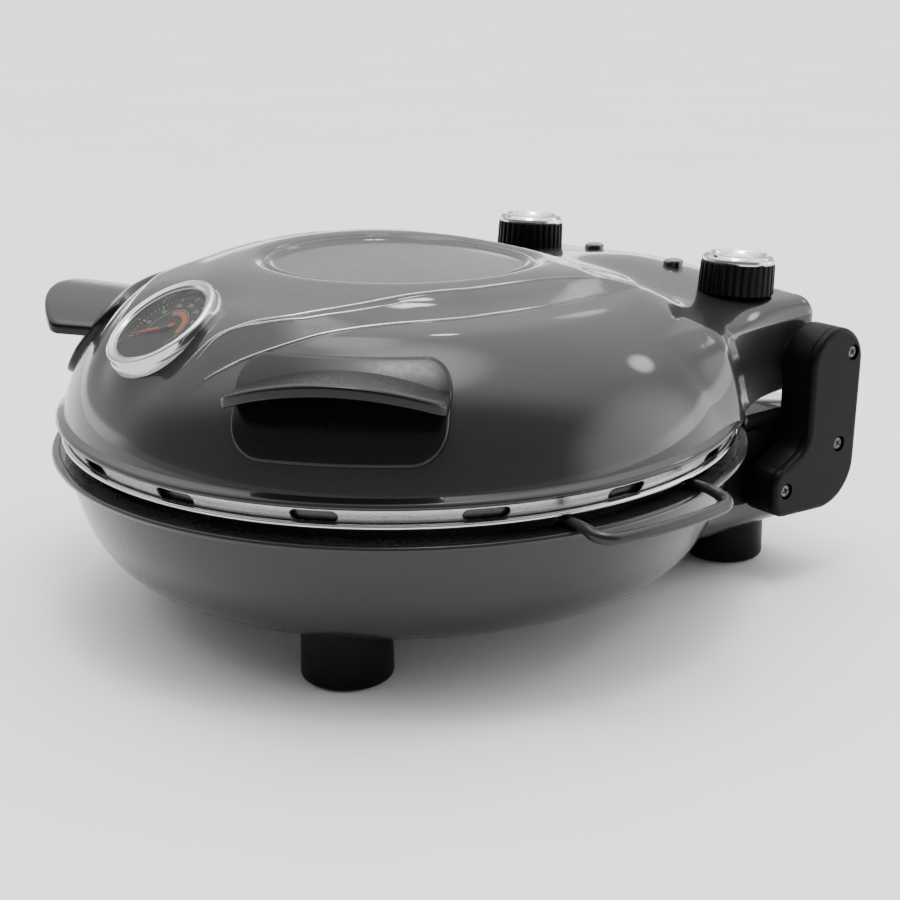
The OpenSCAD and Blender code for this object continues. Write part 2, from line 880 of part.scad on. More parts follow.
module reflector_screws() {
  under_z = reflector_z + reflector_rise - reflector_t;
  color(dull_steel) on_axis()
    for (a = [45:90:315])
      rotate([0, 0, a])
        translate([boss_at, 0, 0]) {
          translate([0, 0, under_z - 2]) cylinder(r = 3, h = 2, $fn = 32);
          translate([0, 0, under_z]) cylinder(r = 1.5, h = 12, $fn = 32);
        }
}

// Conical stainless band with a row of round-ended slots.
module vent_band() {
  low = [ring_r - 1.7, 89.3];
  high = [brim_inner_r - 0.2, 97.4];
  slot_r = 3;
  slot_z = 93.5;
  half = slot_w / 2 - slot_r;
  color(bright_steel) on_axis() difference() {
    rotate_extrude()
      polygon([
        low, high, [brim_inner_r, 98.2], [brim_inner_r - band_t, 98.2],
        [high[0] - band_t, high[1]], [low[0] - band_t, low[1]]
      ]);
    for (i = [0:vent_slots - 1])
      rotate([0, 0, -90 + 360 * i / vent_slots]) {
        for (end = [-1, 1])
          translate([160, end * half, slot_z])
            rotate([0, 90, 0])
              cylinder(r = slot_r, h = 20, $fn = 24);
        box(160, 180, -half, half, slot_z - slot_r, slot_z + slot_r);
      }
  }
}

module reflector_ring() {
  color(bright_steel) on_axis() torus(ring_r, ring_tube_r, ring_z);
}

module upper_heater() {
  color(dull_steel) on_axis() heater_tube(upper_ring_r, upper_heater_z, 168);
}

module upper_heater_clips() {
  r = heater_tube_r;
  top_z = 131;
  color(bright_steel) on_axis()
    for (i = [0:3])
      rotate([0, 0, 45 + 90 * i])
        translate([upper_ring_r, 0, 0])
          difference() {
            union() {
              box(-0.6, 0.6, -5, 5, upper_heater_z + r, top_z);
              box(-r - 1.2, r + 1.2, -5, 5, upper_heater_z, upper_heater_z + r + 1.2);
            }
            translate([0, 6, upper_heater_z])
              rotate([90, 0, 0])
                cylinder(r = r + 0.1, h = 12, $fn = 32);
          }
}

// Plate that closes the control housing from below.
module control_floor() {
  color(black_enamel) on_axis() difference() {
    intersection() {
      housing_solid(lid_wall + 0.2);
      box(-BIG, BIG, 0, BIG, housing_low_z + 1.2, housing_low_z + 2.6);
    }
    cylinder(r = brim_r + 0.2, h = BIG);
    for (side = [-1, 1], k = [0:4])
      box(side * 50 - 14, side * 50 + 14, 174 + 3 * k, 175.4 + 3 * k, 80, 120);
  }
}

// Steel lug inside the housing wall, which turns on the hinge pin.
module pivot_bracket(side) {
  wall_x = housing_half_w - lid_wall;
  color(dull_steel) on_axis() on_side(side) difference() {
    union() {
      rod_x(pivot_plate_x, wall_x - 1.2, hinge_y, hinge_z, 8.5);
      box(wall_x - 3.2, wall_x - 0.2, 156, 178.5, hinge_z - 10, hinge_z + 14);
    }
    rod_x(pivot_plate_x - 1, wall_x + 1, hinge_y, hinge_z, pin_r + pin_play);
  }
}

// Plan of a grip, looking down, with x pointing out of the lid.
function grip_outline() =
  let (
    centre = grip_reach - grip_plan_r,
    corner_y = grip_half_w - grip_corner_r,
    turn = asin(corner_y / (grip_plan_r - grip_corner_r)),
    corner_x = centre + (grip_plan_r - grip_corner_r) * cos(turn)
  )
  concat(
    [[125, -grip_half_w + 3]],
    arc(corner_x, -corner_y, grip_corner_r, -90, -turn, 6),
    arc(centre, 0, grip_plan_r, -turn, turn, 16),
    arc(corner_x, corner_y, grip_corner_r, turn, 90, 6),
    [[125, grip_half_w - 3]]
  );

// Black handle: a plate that follows the dome, and an arched visor to lift the lid by.
module lid_handle(side) {
  color(black_plastic) on_axis() difference() {
    union() {
      intersection() {
        dome_solid(-handle_plate_t, 0, 100);
        at_handle(side)
          extrude_x(100, 175)
            polygon(concat(
              arc(31.5, handle_low_z + 14, 14, 270, 360, 6),
              arc(33.5, handle_high_z - 12, 12, 0, 90, 6),
              arc(-33.5, handle_high_z - 12, 12, 90, 180, 6),
              arc(-31.5, handle_low_z + 14, 14, 180, 270, 6)
            ));
      }
      at_handle(side)
        intersection() {
          linear_extrude(height = BIG) polygon(grip_outline());
          translate([grip_reach, 0, grip_z - grip_arch_r])
            rotate([0, 90 - grip_rise, 0])
              translate([0, 0, -80])
                difference() {
                  cylinder(r = grip_arch_r, h = 100, $fn = 256);
                  translate([0, 0, -1]) cylinder(r = grip_arch_r - grip_t, h = 102, $fn = 256);
                }
          box(100, 200, -60, 60, 120, 170);
        }
    }
    dome_solid(0, spine_rise, 80);
    at_handle(side)
      for (end = [-1, 1])
        translate([100, 25 * end, 125])
          rotate([0, 90, 0])
            cylinder(r = 2, h = 58.5, $fn = 32);
  }
}

module handle_screws() {
  color(dull_steel) on_axis()
    for (side = [-1, 1])
      at_handle(side)
        for (end = [-1, 1])
          translate([0, 25 * end, 125])
            rotate([0, 90, 0]) {
              translate([0, 0, 148]) cylinder(r = 2, h = 10.5, $fn = 32);
              translate([0, 0, 146]) cylinder(r = 4, h = 2, $fn = 32);
            }
}

// ---- thermometer, along its own axis from the face down ----

module gauge_case() {
  color(dull_steel) on_axis() at_gauge() difference() {
    union() {
      translate([0, 0, -case_depth]) cylinder(r = case_r, h = case_depth - 2.2);
      translate([0, 0, -stem_length]) cylinder(r = 3, h = stem_length - case_depth + 1, $fn = 32);
    }
    translate([0, 0, -5.2]) cylinder(r = case_r - 1, h = 10);
    translate([0, 0, -6]) cylinder(r = case_r - 1, h = 10);
    translate([0, 0, 1.2 - case_depth]) cylinder(r = case_r - 3, h = 20);
    translate([0, 0, -case_depth + 0.5]) cylinder(r = 1.05, h = 20, $fn = 32);
  }
}

module gauge_bezel() {
  color(bright_steel) on_axis() at_gauge()
    difference() {
      rotate_extrude()
        polygon(concat(
          [[case_r, -0.8], [glass_r, -0.8], [glass_r, -0.3], [glass_r + 0.4, 0]],
          arc(gauge_r - 1, -1, 1, 90, 0, 4),
          [[gauge_r + 0.9, -5.4], [gauge_r + 0.9, -11], [case_r, -11]]
        ));
      rotate([-gauge_tilt, 0, 0])
        translate([0, gauge_y, -gauge_z])
          dome_solid(0, 0, 80);
    }
}

module gauge_dial() {
  color("#3b3c36") on_axis() at_gauge() difference() {
    translate([0, 0, -6]) cylinder(r = case_r - 1, h = 0.8);
    translate([0, 0, -8]) cylinder(r = 1.05, h = 5, $fn = 32);
  }
}

module gauge_glass() {
  color("#dfe6e6", 0.3) on_axis() at_gauge()
    translate([0, 0, -2.2]) cylinder(r = case_r, h = 1.4);
}

module gauge_nut() {
  color(dull_steel) on_axis() at_gauge() difference() {
    translate([0, 0, 0.4 - case_depth]) cylinder(r = case_r + 3, h = 2.8);
    translate([0, 0, -case_depth]) cylinder(r = case_r, h = 10);
  }
}

// Pointer on its spindle, resting at the cold end of the scale.
module gauge_needle() {
  rest_angle = 210;
  color("#d8552a") on_axis() at_gauge() {
    translate([0, 0, -case_depth + 2]) cylinder(r = 1, h = case_depth - 5.4, $fn = 32);
    translate([0, 0, -4.7]) cylinder(r = 2.6, h = 1.3, $fn = 32);
    rotate([0, 0, rest_angle])
      translate([0, 0, -4.5])
        linear_extrude(height = 0.7)
          polygon([[-6, -1.3], [-6, 1.3], [0, 1], [18, 0.3], [18, -0.3], [0, -1]]);
  }
}

// ---- controls ----

// Body of a rotary control with the bush that clamps it under the deck.
module control_body(side, width, depth) {
  color("#cfcabd") on_axis() at_knob(side) difference() {
    union() {
      box(-width / 2, width / 2, -depth / 2, depth / 2, -27, -5.5);
      translate([0, 0, -6]) cylinder(r = 5.2, h = 6.2, $fn = 32);
      translate([0, 0, -5.6]) cylinder(r = 9, h = 3.6, $fn = 6);
    }
    translate([0, 0, -28]) cylinder(r = shaft_r + 0.05, h = 40, $fn = 48);
  }
}

module thermostat_body() {
  control_body(1, 30, 26);
}

module timer_body() {
  control_body(-1, 36, 28);
}

module control_knob(side) {
  color(black_plastic) on_axis() at_knob(side) difference() {
    translate([0, 0, knob_gap])
      cylinder(r1 = knob_r + 0.5, r2 = knob_r, h = knob_skirt_h - knob_gap);
    translate([0, 0, -1])
      difference() {
        cylinder(r = knob_r - 2.5, h = 13);
        translate([0, 0, -1]) cylinder(r = 6, h = 20, $fn = 48);
      }
    cylinder(r = shaft_r, h = 14, $fn = 48);
    for (i = [0:knob_grooves - 1])
      rotate([0, 0, 360 * i / knob_grooves])
        translate([knob_r + 1.2, 0, -1])
          cylinder(r = 1.3, h = knob_skirt_h - 0.6, $fn = 16);
  }
}

module knob_cap(side) {
  color(bright_steel) on_axis() at_knob(side)
    translate([0, 0, knob_skirt_h])
      rotate_extrude()
        polygon(concat(
          [[0, 0], [knob_r, 0], [knob_r, 1.6]],
          arc(knob_r - 2.6, 1.8, 2.4, 0, 90, 6),
          [[knob_r - 5, cap_h - 0.3], [knob_r - 6, cap_h - 1.4], [0, cap_h - 0.9]]
        ));
}

module knob_shaft(side) {
  color(dull_steel) on_axis() at_knob(side)
    translate([0, 0, -24]) cylinder(r = shaft_r, h = 38, $fn = 48);
}

module indicator_lamps() {
  color("#2a2422") on_axis()
    for (side = [-1, 1])
      translate([side * lamp_x, lamp_y, lamp_low_z])
        rotate_extrude($fn = 48)
          polygon([
            [0, 0], [lamp_r, 0], [lamp_r, lamp_h - 1.2], [lamp_r - 0.5, lamp_h - 0.4],
            [lamp_r - 1.6, lamp_h], [0, lamp_h]
          ]);
}

// Safety cut-out strapped to the back of the reflector.
module thermal_fuse() {
  base_z = reflector_z + reflector_rise;
  color(bright_steel) on_axis() {
    rod([-9, 30, base_z + 3], [9, 30, base_z + 3], 3);
    box(-1.5, 1.5, 22, 38, base_z, base_z + 1);
  }
}

// Leads between the controls and the ends of the upper heating element.
module lid_wiring() {
  body_front = knob_y - 12;
  color("#8c2f24") on_axis() {
    rod([-knob_x + 18, body_front + 12, 128], [knob_x - 15, body_front + 12, 128], 1.5);
    for (side = [-1, 1])
      rod([side * heater_leg_x, 166, upper_heater_z + heater_tube_r + 1.5],
        [side * 16, body_front + 12, 128], 1.5);
  }
}

base_shell();
bottom_plate();
bottom_screws();
base_liner();
lower_heater();
lower_heater_clips();
stone_tray();
tray_handle(-1);  // tray_handle_left
tray_handle(1);  // tray_handle_right
pizza_stone();
foot(foot_places()[0]);  // foot_front_left
foot(foot_places()[1]);  // foot_front_right
foot(foot_places()[2]);  // foot_rear_left
foot(foot_places()[3]);  // foot_rear_right
foot_pads();
foot_screws();
hinge_bracket(-1);  // hinge_bracket_left
hinge_bracket(1);  // hinge_bracket_right
hinge_arm(-1);  // hinge_arm_left
hinge_arm(1);  // hinge_arm_right
hinge_cover(-1);  // hinge_cover_left
hinge_cover(1);  // hinge_cover_right
hinge_screws(-1);  // hinge_screws_left
hinge_screws(1);  // hinge_screws_right
hinge_pin(-1);  // hinge_pin_left
hinge_pin(1);  // hinge_pin_right
cord_gland();
terminal_block();
base_wiring();
lid_shell();
lid_reflector();
reflector_screws();
vent_band();
reflector_ring();
upper_heater();
upper_heater_clips();
control_floor();
pivot_bracket(-1);  // pivot_bracket_left
pivot_bracket(1);  // pivot_bracket_right
lid_handle(-1);  // lid_handle_left
lid_handle(1);  // lid_handle_right
handle_screws();
gauge_case();
gauge_bezel();
gauge_dial();
gauge_glass();
gauge_nut();
thermostat_body();
timer_body();
indicator_lamps();
thermal_fuse();
lid_wiring();
gauge_needle();
control_knob(1);  // thermostat_knob
knob_cap(1);  // thermostat_cap
knob_shaft(1);  // thermostat_shaft
control_knob(-1);  // timer_knob
knob_cap(-1);  // timer_cap
knob_shaft(-1);  // timer_shaft
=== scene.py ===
"""Electric pizza maker: a glossy grey clamshell cooker, its lid hinged on two black towers.

Lengths are written in millimetres on the cooking axis: x to the cooker's right, y to its back,
z up from the table. The function m() turns such a point into metres in the frame's own place.
"""

from math import acos, asin, atan2, cos, pi, radians, sin, sqrt, tan

import bmesh
import bpy
import numpy as np
from mathutils import Matrix, Vector
from mathutils.geometry import delaunay_2d_cdt


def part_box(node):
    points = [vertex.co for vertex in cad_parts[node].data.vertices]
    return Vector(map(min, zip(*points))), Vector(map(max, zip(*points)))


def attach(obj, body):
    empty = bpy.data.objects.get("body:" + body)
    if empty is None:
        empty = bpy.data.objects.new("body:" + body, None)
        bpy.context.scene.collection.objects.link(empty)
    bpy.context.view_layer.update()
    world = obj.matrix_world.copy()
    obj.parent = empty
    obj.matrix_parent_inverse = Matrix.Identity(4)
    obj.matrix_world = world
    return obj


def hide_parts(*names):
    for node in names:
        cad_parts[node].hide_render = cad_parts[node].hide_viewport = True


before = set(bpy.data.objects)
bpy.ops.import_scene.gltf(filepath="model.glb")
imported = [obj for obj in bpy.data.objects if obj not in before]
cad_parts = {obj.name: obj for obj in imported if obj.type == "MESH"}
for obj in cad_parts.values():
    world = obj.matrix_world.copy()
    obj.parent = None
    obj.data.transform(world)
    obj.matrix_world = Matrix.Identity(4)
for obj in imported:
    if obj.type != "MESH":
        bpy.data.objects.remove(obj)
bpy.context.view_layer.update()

MM = 0.001
stone_low, stone_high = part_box("pizza_stone")
AXIS_Y = (stone_low.y + stone_high.y) / 2  # the cooking axis, in metres


def m(x, y, z):
    """A point in millimetres on the cooking axis, as metres in the frame."""
    return Vector((x * MM, y * MM + AXIS_Y, z * MM))


# ---- camera

CAMERA_AT = m(599.9, -424.4, 304.8)
CAMERA_YAW, CAMERA_PITCH, CAMERA_ROLL = (radians(a) for a in (-52.8, 17.9, -0.2))
FOCAL_PX, PICTURE_PX, SENSOR_MM = 1491.9, 900, 36


def add_object(name, data):
    piece = bpy.data.objects.new(name, data)
    bpy.context.scene.collection.objects.link(piece)
    return piece


def make_camera():
    camera = add_object("camera", bpy.data.cameras.new("camera"))
    camera.data.sensor_width = SENSOR_MM
    camera.data.lens = FOCAL_PX / PICTURE_PX * SENSOR_MM
    camera.data.clip_start, camera.data.clip_end = 0.05, 20
    turn = Matrix.Rotation(-CAMERA_YAW, 4, "Z") @ Matrix.Rotation(pi / 2 - CAMERA_PITCH, 4, "X")
    camera.matrix_world = Matrix.Translation(CAMERA_AT) @ turn @ Matrix.Rotation(CAMERA_ROLL, 4, "Z")
    bpy.context.scene.camera = camera


# ---- materials

NOISE_LOW, NOISE_HIGH, NOISE_ROUGHNESS = 0.3, 0.7, 0.55  # a noise mostly stays between the first two


def add_node(tree, kind, inputs, **settings):
    """A node whose inputs are given as fixed values or as the outputs of other nodes."""
    node = tree.nodes.new("ShaderNode" + kind)
    for key, value in settings.items():
        setattr(node, key, value)
    for key, value in inputs.items():
        if isinstance(value, bpy.types.NodeSocket):
            tree.links.new(value, node.inputs[key])
        else:
            node.inputs[key].default_value = value
    return node


def mapped(tree, value, start, end, low, high, curve="LINEAR"):
    """Maps the range from start to end onto the range from low to high."""
    inputs = {"Value": value, "From Min": start, "From Max": end, "To Min": low, "To Max": high}
    return add_node(tree, "MapRange", inputs, interpolation_type=curve).outputs["Result"]


def vector_math(tree, operation, output, inputs):
    return add_node(tree, "VectorMath", inputs, operation=operation).outputs[output]


def colour_of(shade):
    """A shade is a grey level or a red, green and blue."""
    return (*shade, 1) if isinstance(shade, tuple) else (shade, shade, shade, 1)


class Look:
    """A procedural material, built up from a principled shader.

    A noise is given as (waves per metre, detail) or (waves per metre, detail, stretch).
    """

    def __init__(self, name, shade, roughness, metallic, inputs):
        self.material = bpy.data.materials.new(name)
        self.material.use_nodes = True
        self.tree = self.material.node_tree
        self.inputs = self.tree.nodes["Principled BSDF"].inputs
        self.place = add_node(self.tree, "TexCoord", {}).outputs["Object"]
        self.inputs["Base Color"].default_value = colour_of(shade)
        self.inputs["Roughness"].default_value = roughness
        self.inputs["Metallic"].default_value = metallic
        for key, value in inputs.items():
            self.inputs[key.replace("_", " ")].default_value = value

    def noise(self, scale, detail, stretch=None):
        place = self.place
        if stretch:
            inputs = {"Vector": place, "Scale": stretch}
            place = add_node(self.tree, "Mapping", inputs).outputs["Vector"]
        inputs = {"Vector": place, "Scale": scale, "Detail": detail, "Roughness": NOISE_ROUGHNESS}
        return add_node(self.tree, "TexNoise", inputs).outputs["Fac"]

    def tint(self, noise, dark, light):
        """Colours the surface between two shades."""
        ramp = add_node(self.tree, "ValToRGB", {"Fac": self.noise(*noise)})
        low, high = ramp.color_ramp.elements
        low.position, high.position = NOISE_LOW, NOISE_HIGH
        low.color, high.color = colour_of(dark), colour_of(light)
        self.tree.links.new(ramp.outputs["Color"], self.inputs["Base Color"])

    def painted_shade(self, near, far, share):
        """Painted shade: darkens the tint to a share of itself between two distances from the cooking axis,
        in metres.
        """
        flat = {0: self.place, 1: (1, 1, 0), 2: (0, -AXIS_Y, 0)}
        flat = vector_math(self.tree, "MULTIPLY_ADD", "Vector", flat)
        distance = vector_math(self.tree, "LENGTH", "Value", {0: flat})
        fade = mapped(self.tree, distance, near, far, 1.0, share)
        colour = self.inputs["Base Color"].links[0].from_socket
        dimmed = vector_math(self.tree, "SCALE", "Vector", {0: colour, "Scale": fade})
        self.tree.links.new(dimmed, self.inputs["Base Color"])

    def rough(self, noise, low, high):
        roughness = mapped(self.tree, self.noise(*noise), NOISE_LOW, NOISE_HIGH, low, high)
        self.tree.links.new(roughness, self.inputs["Roughness"])

    def bump(self, noise, depth, strength):
        """Raises the surface by a height of about depth metres."""
        inputs = {"Height": self.noise(*noise), "Distance": depth, "Strength": strength}
        bumped = add_node(self.tree, "Bump", inputs).outputs["Normal"]
        self.tree.links.new(bumped, self.inputs["Normal"])


def surface(name, shade, roughness, metallic=0.0, tint=None, painted_shade=None, rough=None, bump=None, **inputs):
    """A material whose shade, roughness and relief each follow a noise of their own."""
    look = Look(name, shade, roughness, metallic, inputs)
    for change, values in ((look.tint, tint), (look.painted_shade, painted_shade), (look.rough, rough), (look.bump, bump)):
        if values:
            change(*values)
    return look.material


LOOKS = {
    "paint": surface(
        "gloss_grey_paint", 0.02, 0.36, 0.3, rough=((700, 3), 0.30, 0.42), bump=((260, 3), 0.00001, 0.25),
        tint=((2600, 2), (0.013, 0.013, 0.0135), (0.021, 0.021, 0.0215)),
        Coat_Weight=0.72, Coat_Roughness=0.03, Coat_IOR=1.45, Specular_IOR_Level=0.1,
    ),
    # polished metal for the strip beads: its shine paints the highlights along the strips' painted creases
    "bead": surface(
        "bead_painted_highlight", 0.5, 0.16, 0.9, tint=((900, 3), 0.42, 0.58), rough=((500, 3), 0.10, 0.22),
    ),
    "enamel": surface(
        "black_enamel", 0.012, 0.30, tint=((900, 3), 0.008, 0.018), rough=((320, 4), 0.22, 0.42),
        bump=((1400, 3), 0.00003, 0.4), Coat_Weight=0.3, Coat_Roughness=0.15,
    ),
    "moulded": surface(
        "moulded_black_plastic", 0.006, 0.42, tint=((1800, 3), 0.0018, 0.004), rough=((420, 4), 0.36, 0.50),
        bump=((3600, 2), 0.00004, 0.35), Specular_IOR_Level=0.09,
    ),
    "grip": surface(
        "satin_black_grip", 0.005, 0.24, tint=((1500, 3), 0.0014, 0.003), rough=((380, 4), 0.18, 0.28),
        bump=((3000, 2), 0.00002, 0.3), Specular_IOR_Level=0.28,
    ),
    "wire": surface(
        "black_wire_enamel", 0.005, 0.34, tint=((900, 3), 0.004, 0.008), rough=((420, 4), 0.28, 0.42),
        bump=((1800, 3), 0.00002, 0.3), Coat_Weight=0.2, Coat_Roughness=0.12, Specular_IOR_Level=0.3,
    ),
    "chrome": surface(
        "polished_chrome", 0.82, 0.07, 1.0, tint=((60, 3), 0.50, 0.62), rough=((500, 4), 0.05, 0.13),
        bump=((700, 3), 0.00001, 0.2),
    ),
    "brushed": surface(
        "brushed_stainless", 0.62, 0.28, 1.0, tint=((500, 3, (1, 1, 60)), 0.50, 0.74),
        rough=((600, 4, (1, 1, 50)), 0.20, 0.36), bump=((700, 3, (1, 1, 60)), 0.00002, 0.4),
    ),
    "sheet": surface(
        "bright_sheet_steel", 0.60, 0.30, 1.0, tint=((90, 5), (0.50, 0.50, 0.51), 0.70),
        rough=((800, 4, (1, 14, 14)), 0.22, 0.40), bump=((900, 3, (1, 20, 20)), 0.00002, 0.35),
    ),
    "turned": surface(
        "turned_steel", 0.45, 0.35, 1.0, tint=((700, 4), 0.36, 0.56), rough=((500, 4), 0.26, 0.44),
        bump=((1600, 3), 0.00002, 0.4),
    ),
    "sheath": surface(
        "heater_sheath", 0.10, 0.55, 0.8, tint=((240, 5), (0.05, 0.045, 0.042), (0.16, 0.145, 0.13)),
        rough=((500, 4), 0.45, 0.68), bump=((1700, 4), 0.00005, 0.6),
    ),
    # the stone's tint darkens to an eighth of itself near its rim: painted shade for the dark gap under the
    # lid's rim
    "stone": surface(
        "fireclay", (0.36, 0.30, 0.22), 0.9, tint=((420, 6), (0.27, 0.22, 0.15), (0.43, 0.36, 0.27)),
        painted_shade=(0.140, 0.151, 0.12), rough=((900, 5), 0.82, 0.96), bump=((1500, 6), 0.00025, 0.7),
    ),
    "rubber": surface(
        "foot_rubber", 0.02, 0.85, tint=((900, 4), 0.014, 0.03), rough=((900, 4), 0.78, 0.92),
        bump=((2200, 4), 0.00006, 0.6),
    ),
    "dial": surface(
        "dial_enamel", (0.03, 0.033, 0.024), 0.5, rough=((700, 4), 0.45, 0.6),
        tint=((500, 4), (0.022, 0.024, 0.018), (0.044, 0.048, 0.036)), bump=((2500, 3), 0.000005, 0.2),
    ),
    "ink": surface(
        "dial_ink", 0.62, 0.55, tint=((2400, 3), 0.50, 0.70), rough=((900, 3), 0.5, 0.65),
        bump=((3000, 2), 0.00001, 0.2),
    ),
    "needle": surface(
        "orange_enamel", (0.72, 0.13, 0.03), 0.4, tint=((1200, 3), (0.62, 0.10, 0.02), (0.80, 0.18, 0.05)),
        rough=((900, 3), 0.34, 0.5), bump=((2600, 2), 0.00001, 0.3),
    ),
    "glass": surface("clear_glass", 0.02, 0.02, rough=((120, 3), 0.01, 0.035), Alpha=0.3),
    "lens": surface(
        "smoked_lens", (0.010, 0.008, 0.008), 0.08, rough=((600, 3), 0.06, 0.14),
        tint=((400, 3), (0.007, 0.006, 0.006), (0.020, 0.014, 0.013)), Coat_Weight=1.0, Coat_Roughness=0.03,
    ),
    "bakelite": surface(
        "control_moulding", (0.60, 0.57, 0.50), 0.55, tint=((600, 4), (0.52, 0.49, 0.43), (0.68, 0.65, 0.58)),
        rough=((700, 4), 0.48, 0.64), bump=((2400, 3), 0.00003, 0.4),
    ),
    "sleeve": surface(
        "silicone_sleeve", (0.35, 0.07, 0.05), 0.6, tint=((500, 3), (0.28, 0.05, 0.04), (0.42, 0.09, 0.07)),
        rough=((700, 4), 0.52, 0.7), bump=((2000, 3), 0.00003, 0.4),
    ),
    "orange": surface(
        "orange_print", (0.75, 0.20, 0.08), 0.5, tint=((2400, 3), (0.66, 0.16, 0.06), (0.82, 0.25, 0.11)),
        rough=((900, 3), 0.45, 0.6),
    ),
    "blackened": surface(
        "blackened_steel", 0.10, 0.38, 1.0, tint=((900, 4), 0.06, 0.15), rough=((500, 4), 0.30, 0.48),
        bump=((1600, 3), 0.00002, 0.4),
    ),
    "floor": surface("pale_floor", 0.90, 0.85, tint=((3, 3), 0.88, 0.92), rough=((40, 3), 0.8, 0.9)),
}

NODE_LOOKS = {
    "enamel": ["base_liner", "control_floor", "bottom_plate"],
    "moulded": ["cord_gland", "hinge_bracket_left", "hinge_bracket_right"],
    "rubber": ["foot_pads"],
    "turned": [
        "bottom_screws", "foot_screws", "reflector_screws", "handle_screws", "hinge_pin_left",
        "hinge_pin_right", "pivot_bracket_left", "pivot_bracket_right", "thermostat_shaft", "timer_shaft",
        "gauge_case", "gauge_nut",
    ],
    "sheet": ["lower_heater_clips", "upper_heater_clips", "thermal_fuse", "stone_tray"],
    "sheath": ["lower_heater", "upper_heater"],
    "bakelite": ["thermostat_body", "timer_body", "terminal_block"],
    "sleeve": ["base_wiring", "lid_wiring"],
    "stone": ["pizza_stone"],
    "lens": ["indicator_lamps"],
    "dial": ["gauge_dial"],
    "glass": ["gauge_glass"],
}


def dress_nodes():
    for look, names in NODE_LOOKS.items():
        for name in names:
            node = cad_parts[name]
            for slot in node.material_slots:
                slot.material = LOOKS[look]


# ---- mesh tools

TOUCHING = 1e-6  # metres between points that are one
SIDES = ((-1, "left"), (1, "right"))


def add_mesh(name, points, faces, look, body, sharp=None, weld_at=None):
    """A new smooth piece from points in millimetres.

    With sharp, edges steeper than that stay crisp. With weld_at, points closer than that are joined.
    """
    mesh = bpy.data.meshes.new(name)
    place = np.asarray(points, float) * MM
    place[:, 1] += AXIS_Y
    mesh.from_pydata(place.tolist(), [], faces)
    mesh.validate()
    mesh.materials.append(LOOKS[look])
    mesh.polygons.foreach_set("use_smooth", [True] * len(mesh.polygons))
    if sharp:
        mesh.set_sharp_from_angle(angle=radians(sharp))
    piece = add_object(name, mesh)
    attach(piece, body)
    if weld_at:
        weld(mesh, weld_at)
    return piece


def show(piece, node=None):
    """Hides the solid named by node, which the piece is shown instead of. The piece is not used."""
    if node:
        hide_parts(node)


class Patches:
    """The points and faces of a piece, gathered patch by patch."""

    def __init__(self):
        self.points, self.faces = [], []

    def add(self, points, faces):
        start = len(self.points)
        self.points += [tuple(point) for point in points]
        self.faces += [tuple(start + i for i in face) for face in faces]

    def sink(self, outline, mouth_x, floor_x):
        """A recess along x, of the same outline (y, z) from its mouth to its floor."""
        n = len(outline)
        points = [(x, y, z) for x in (mouth_x, floor_x) for y, z in outline]
        self.add(points, grid_faces(2, n, True) + [tuple(range(n, 2 * n))])


def grid_faces(rows, columns, closed):
    """Quads between neighbouring rows of points. With closed, each row is a loop."""
    faces = []
    last = columns if closed else columns - 1
    for i in range(rows - 1):
        for j in range(last):
            k = (j + 1) % columns
            faces.append((i * columns + j, i * columns + k, (i + 1) * columns + k, (i + 1) * columns + j))
    return faces


def revolve(name, profile, look, body, steps=192, sharp=30, place=None):
    """A turned piece. profile lists (radius, height). place maps its own points to the cooker's."""
    angles = np.radians(np.arange(steps) * 360 / steps)
    rings = [np.column_stack([r * np.cos(angles), r * np.sin(angles), np.full(steps, z)]) for r, z in profile]
    points = np.concatenate(rings)
    if place is not None:
        points = place(points)
    return add_mesh(name, points, grid_faces(len(profile), steps, True), look, body, sharp, TOUCHING)


def weld(mesh, distance):
    """Joins coincident points, drops faces of no area and turns the faces outwards."""
    work = bmesh.new()
    work.from_mesh(mesh)
    bmesh.ops.remove_doubles(work, verts=work.verts, dist=distance)
    bmesh.ops.dissolve_degenerate(work, edges=work.edges, dist=distance)
    bmesh.ops.recalc_face_normals(work, faces=work.faces)
    work.to_mesh(mesh)
    work.free()


def rounded(corners, steps=6):
    """A path of points from corners (x, y, radius): each corner is replaced by an arc."""
    path = []
    n = len(corners)
    for i, (x, y, r) in enumerate(corners):
        if r <= 0 or i in (0, n - 1):
            path.append((x, y))
            continue
        path.extend(arc_at(corners[i - 1][:2], (x, y), corners[i + 1][:2], r, steps))
    return path


def arc_at(before, corner, after, r, steps):
    """The arc of radius r that cuts off a corner, as a list of points."""
    c = np.array(corner, float)
    a = np.array(before, float) - c
    b = np.array(after, float) - c
    a /= np.linalg.norm(a)
    b /= np.linalg.norm(b)
    half = acos(max(-1, min(1, float(a @ b)))) / 2
    reach = r / tan(half)
    centre = c + (a + b) / np.linalg.norm(a + b) * r / sin(half)
    start, end = c + a * reach - centre, c + b * reach - centre
    turn = pi - 2 * half
    out = []
    for i in range(steps + 1):
        t = i / steps
        p = (start * sin((1 - t) * turn) + end * sin(t * turn)) / sin(turn)
        out.append(tuple(centre + p))
    return out


def ease(t):
    t = np.clip(t, 0, 1)
    return t * t * (3 - 2 * t)


def smooth_max(a, b, k):
    """The larger of a and b, blended where they are closer than k."""
    h = np.maximum(k - np.abs(a - b), 0) / k
    return np.maximum(a, b) + h**3 * k / 6


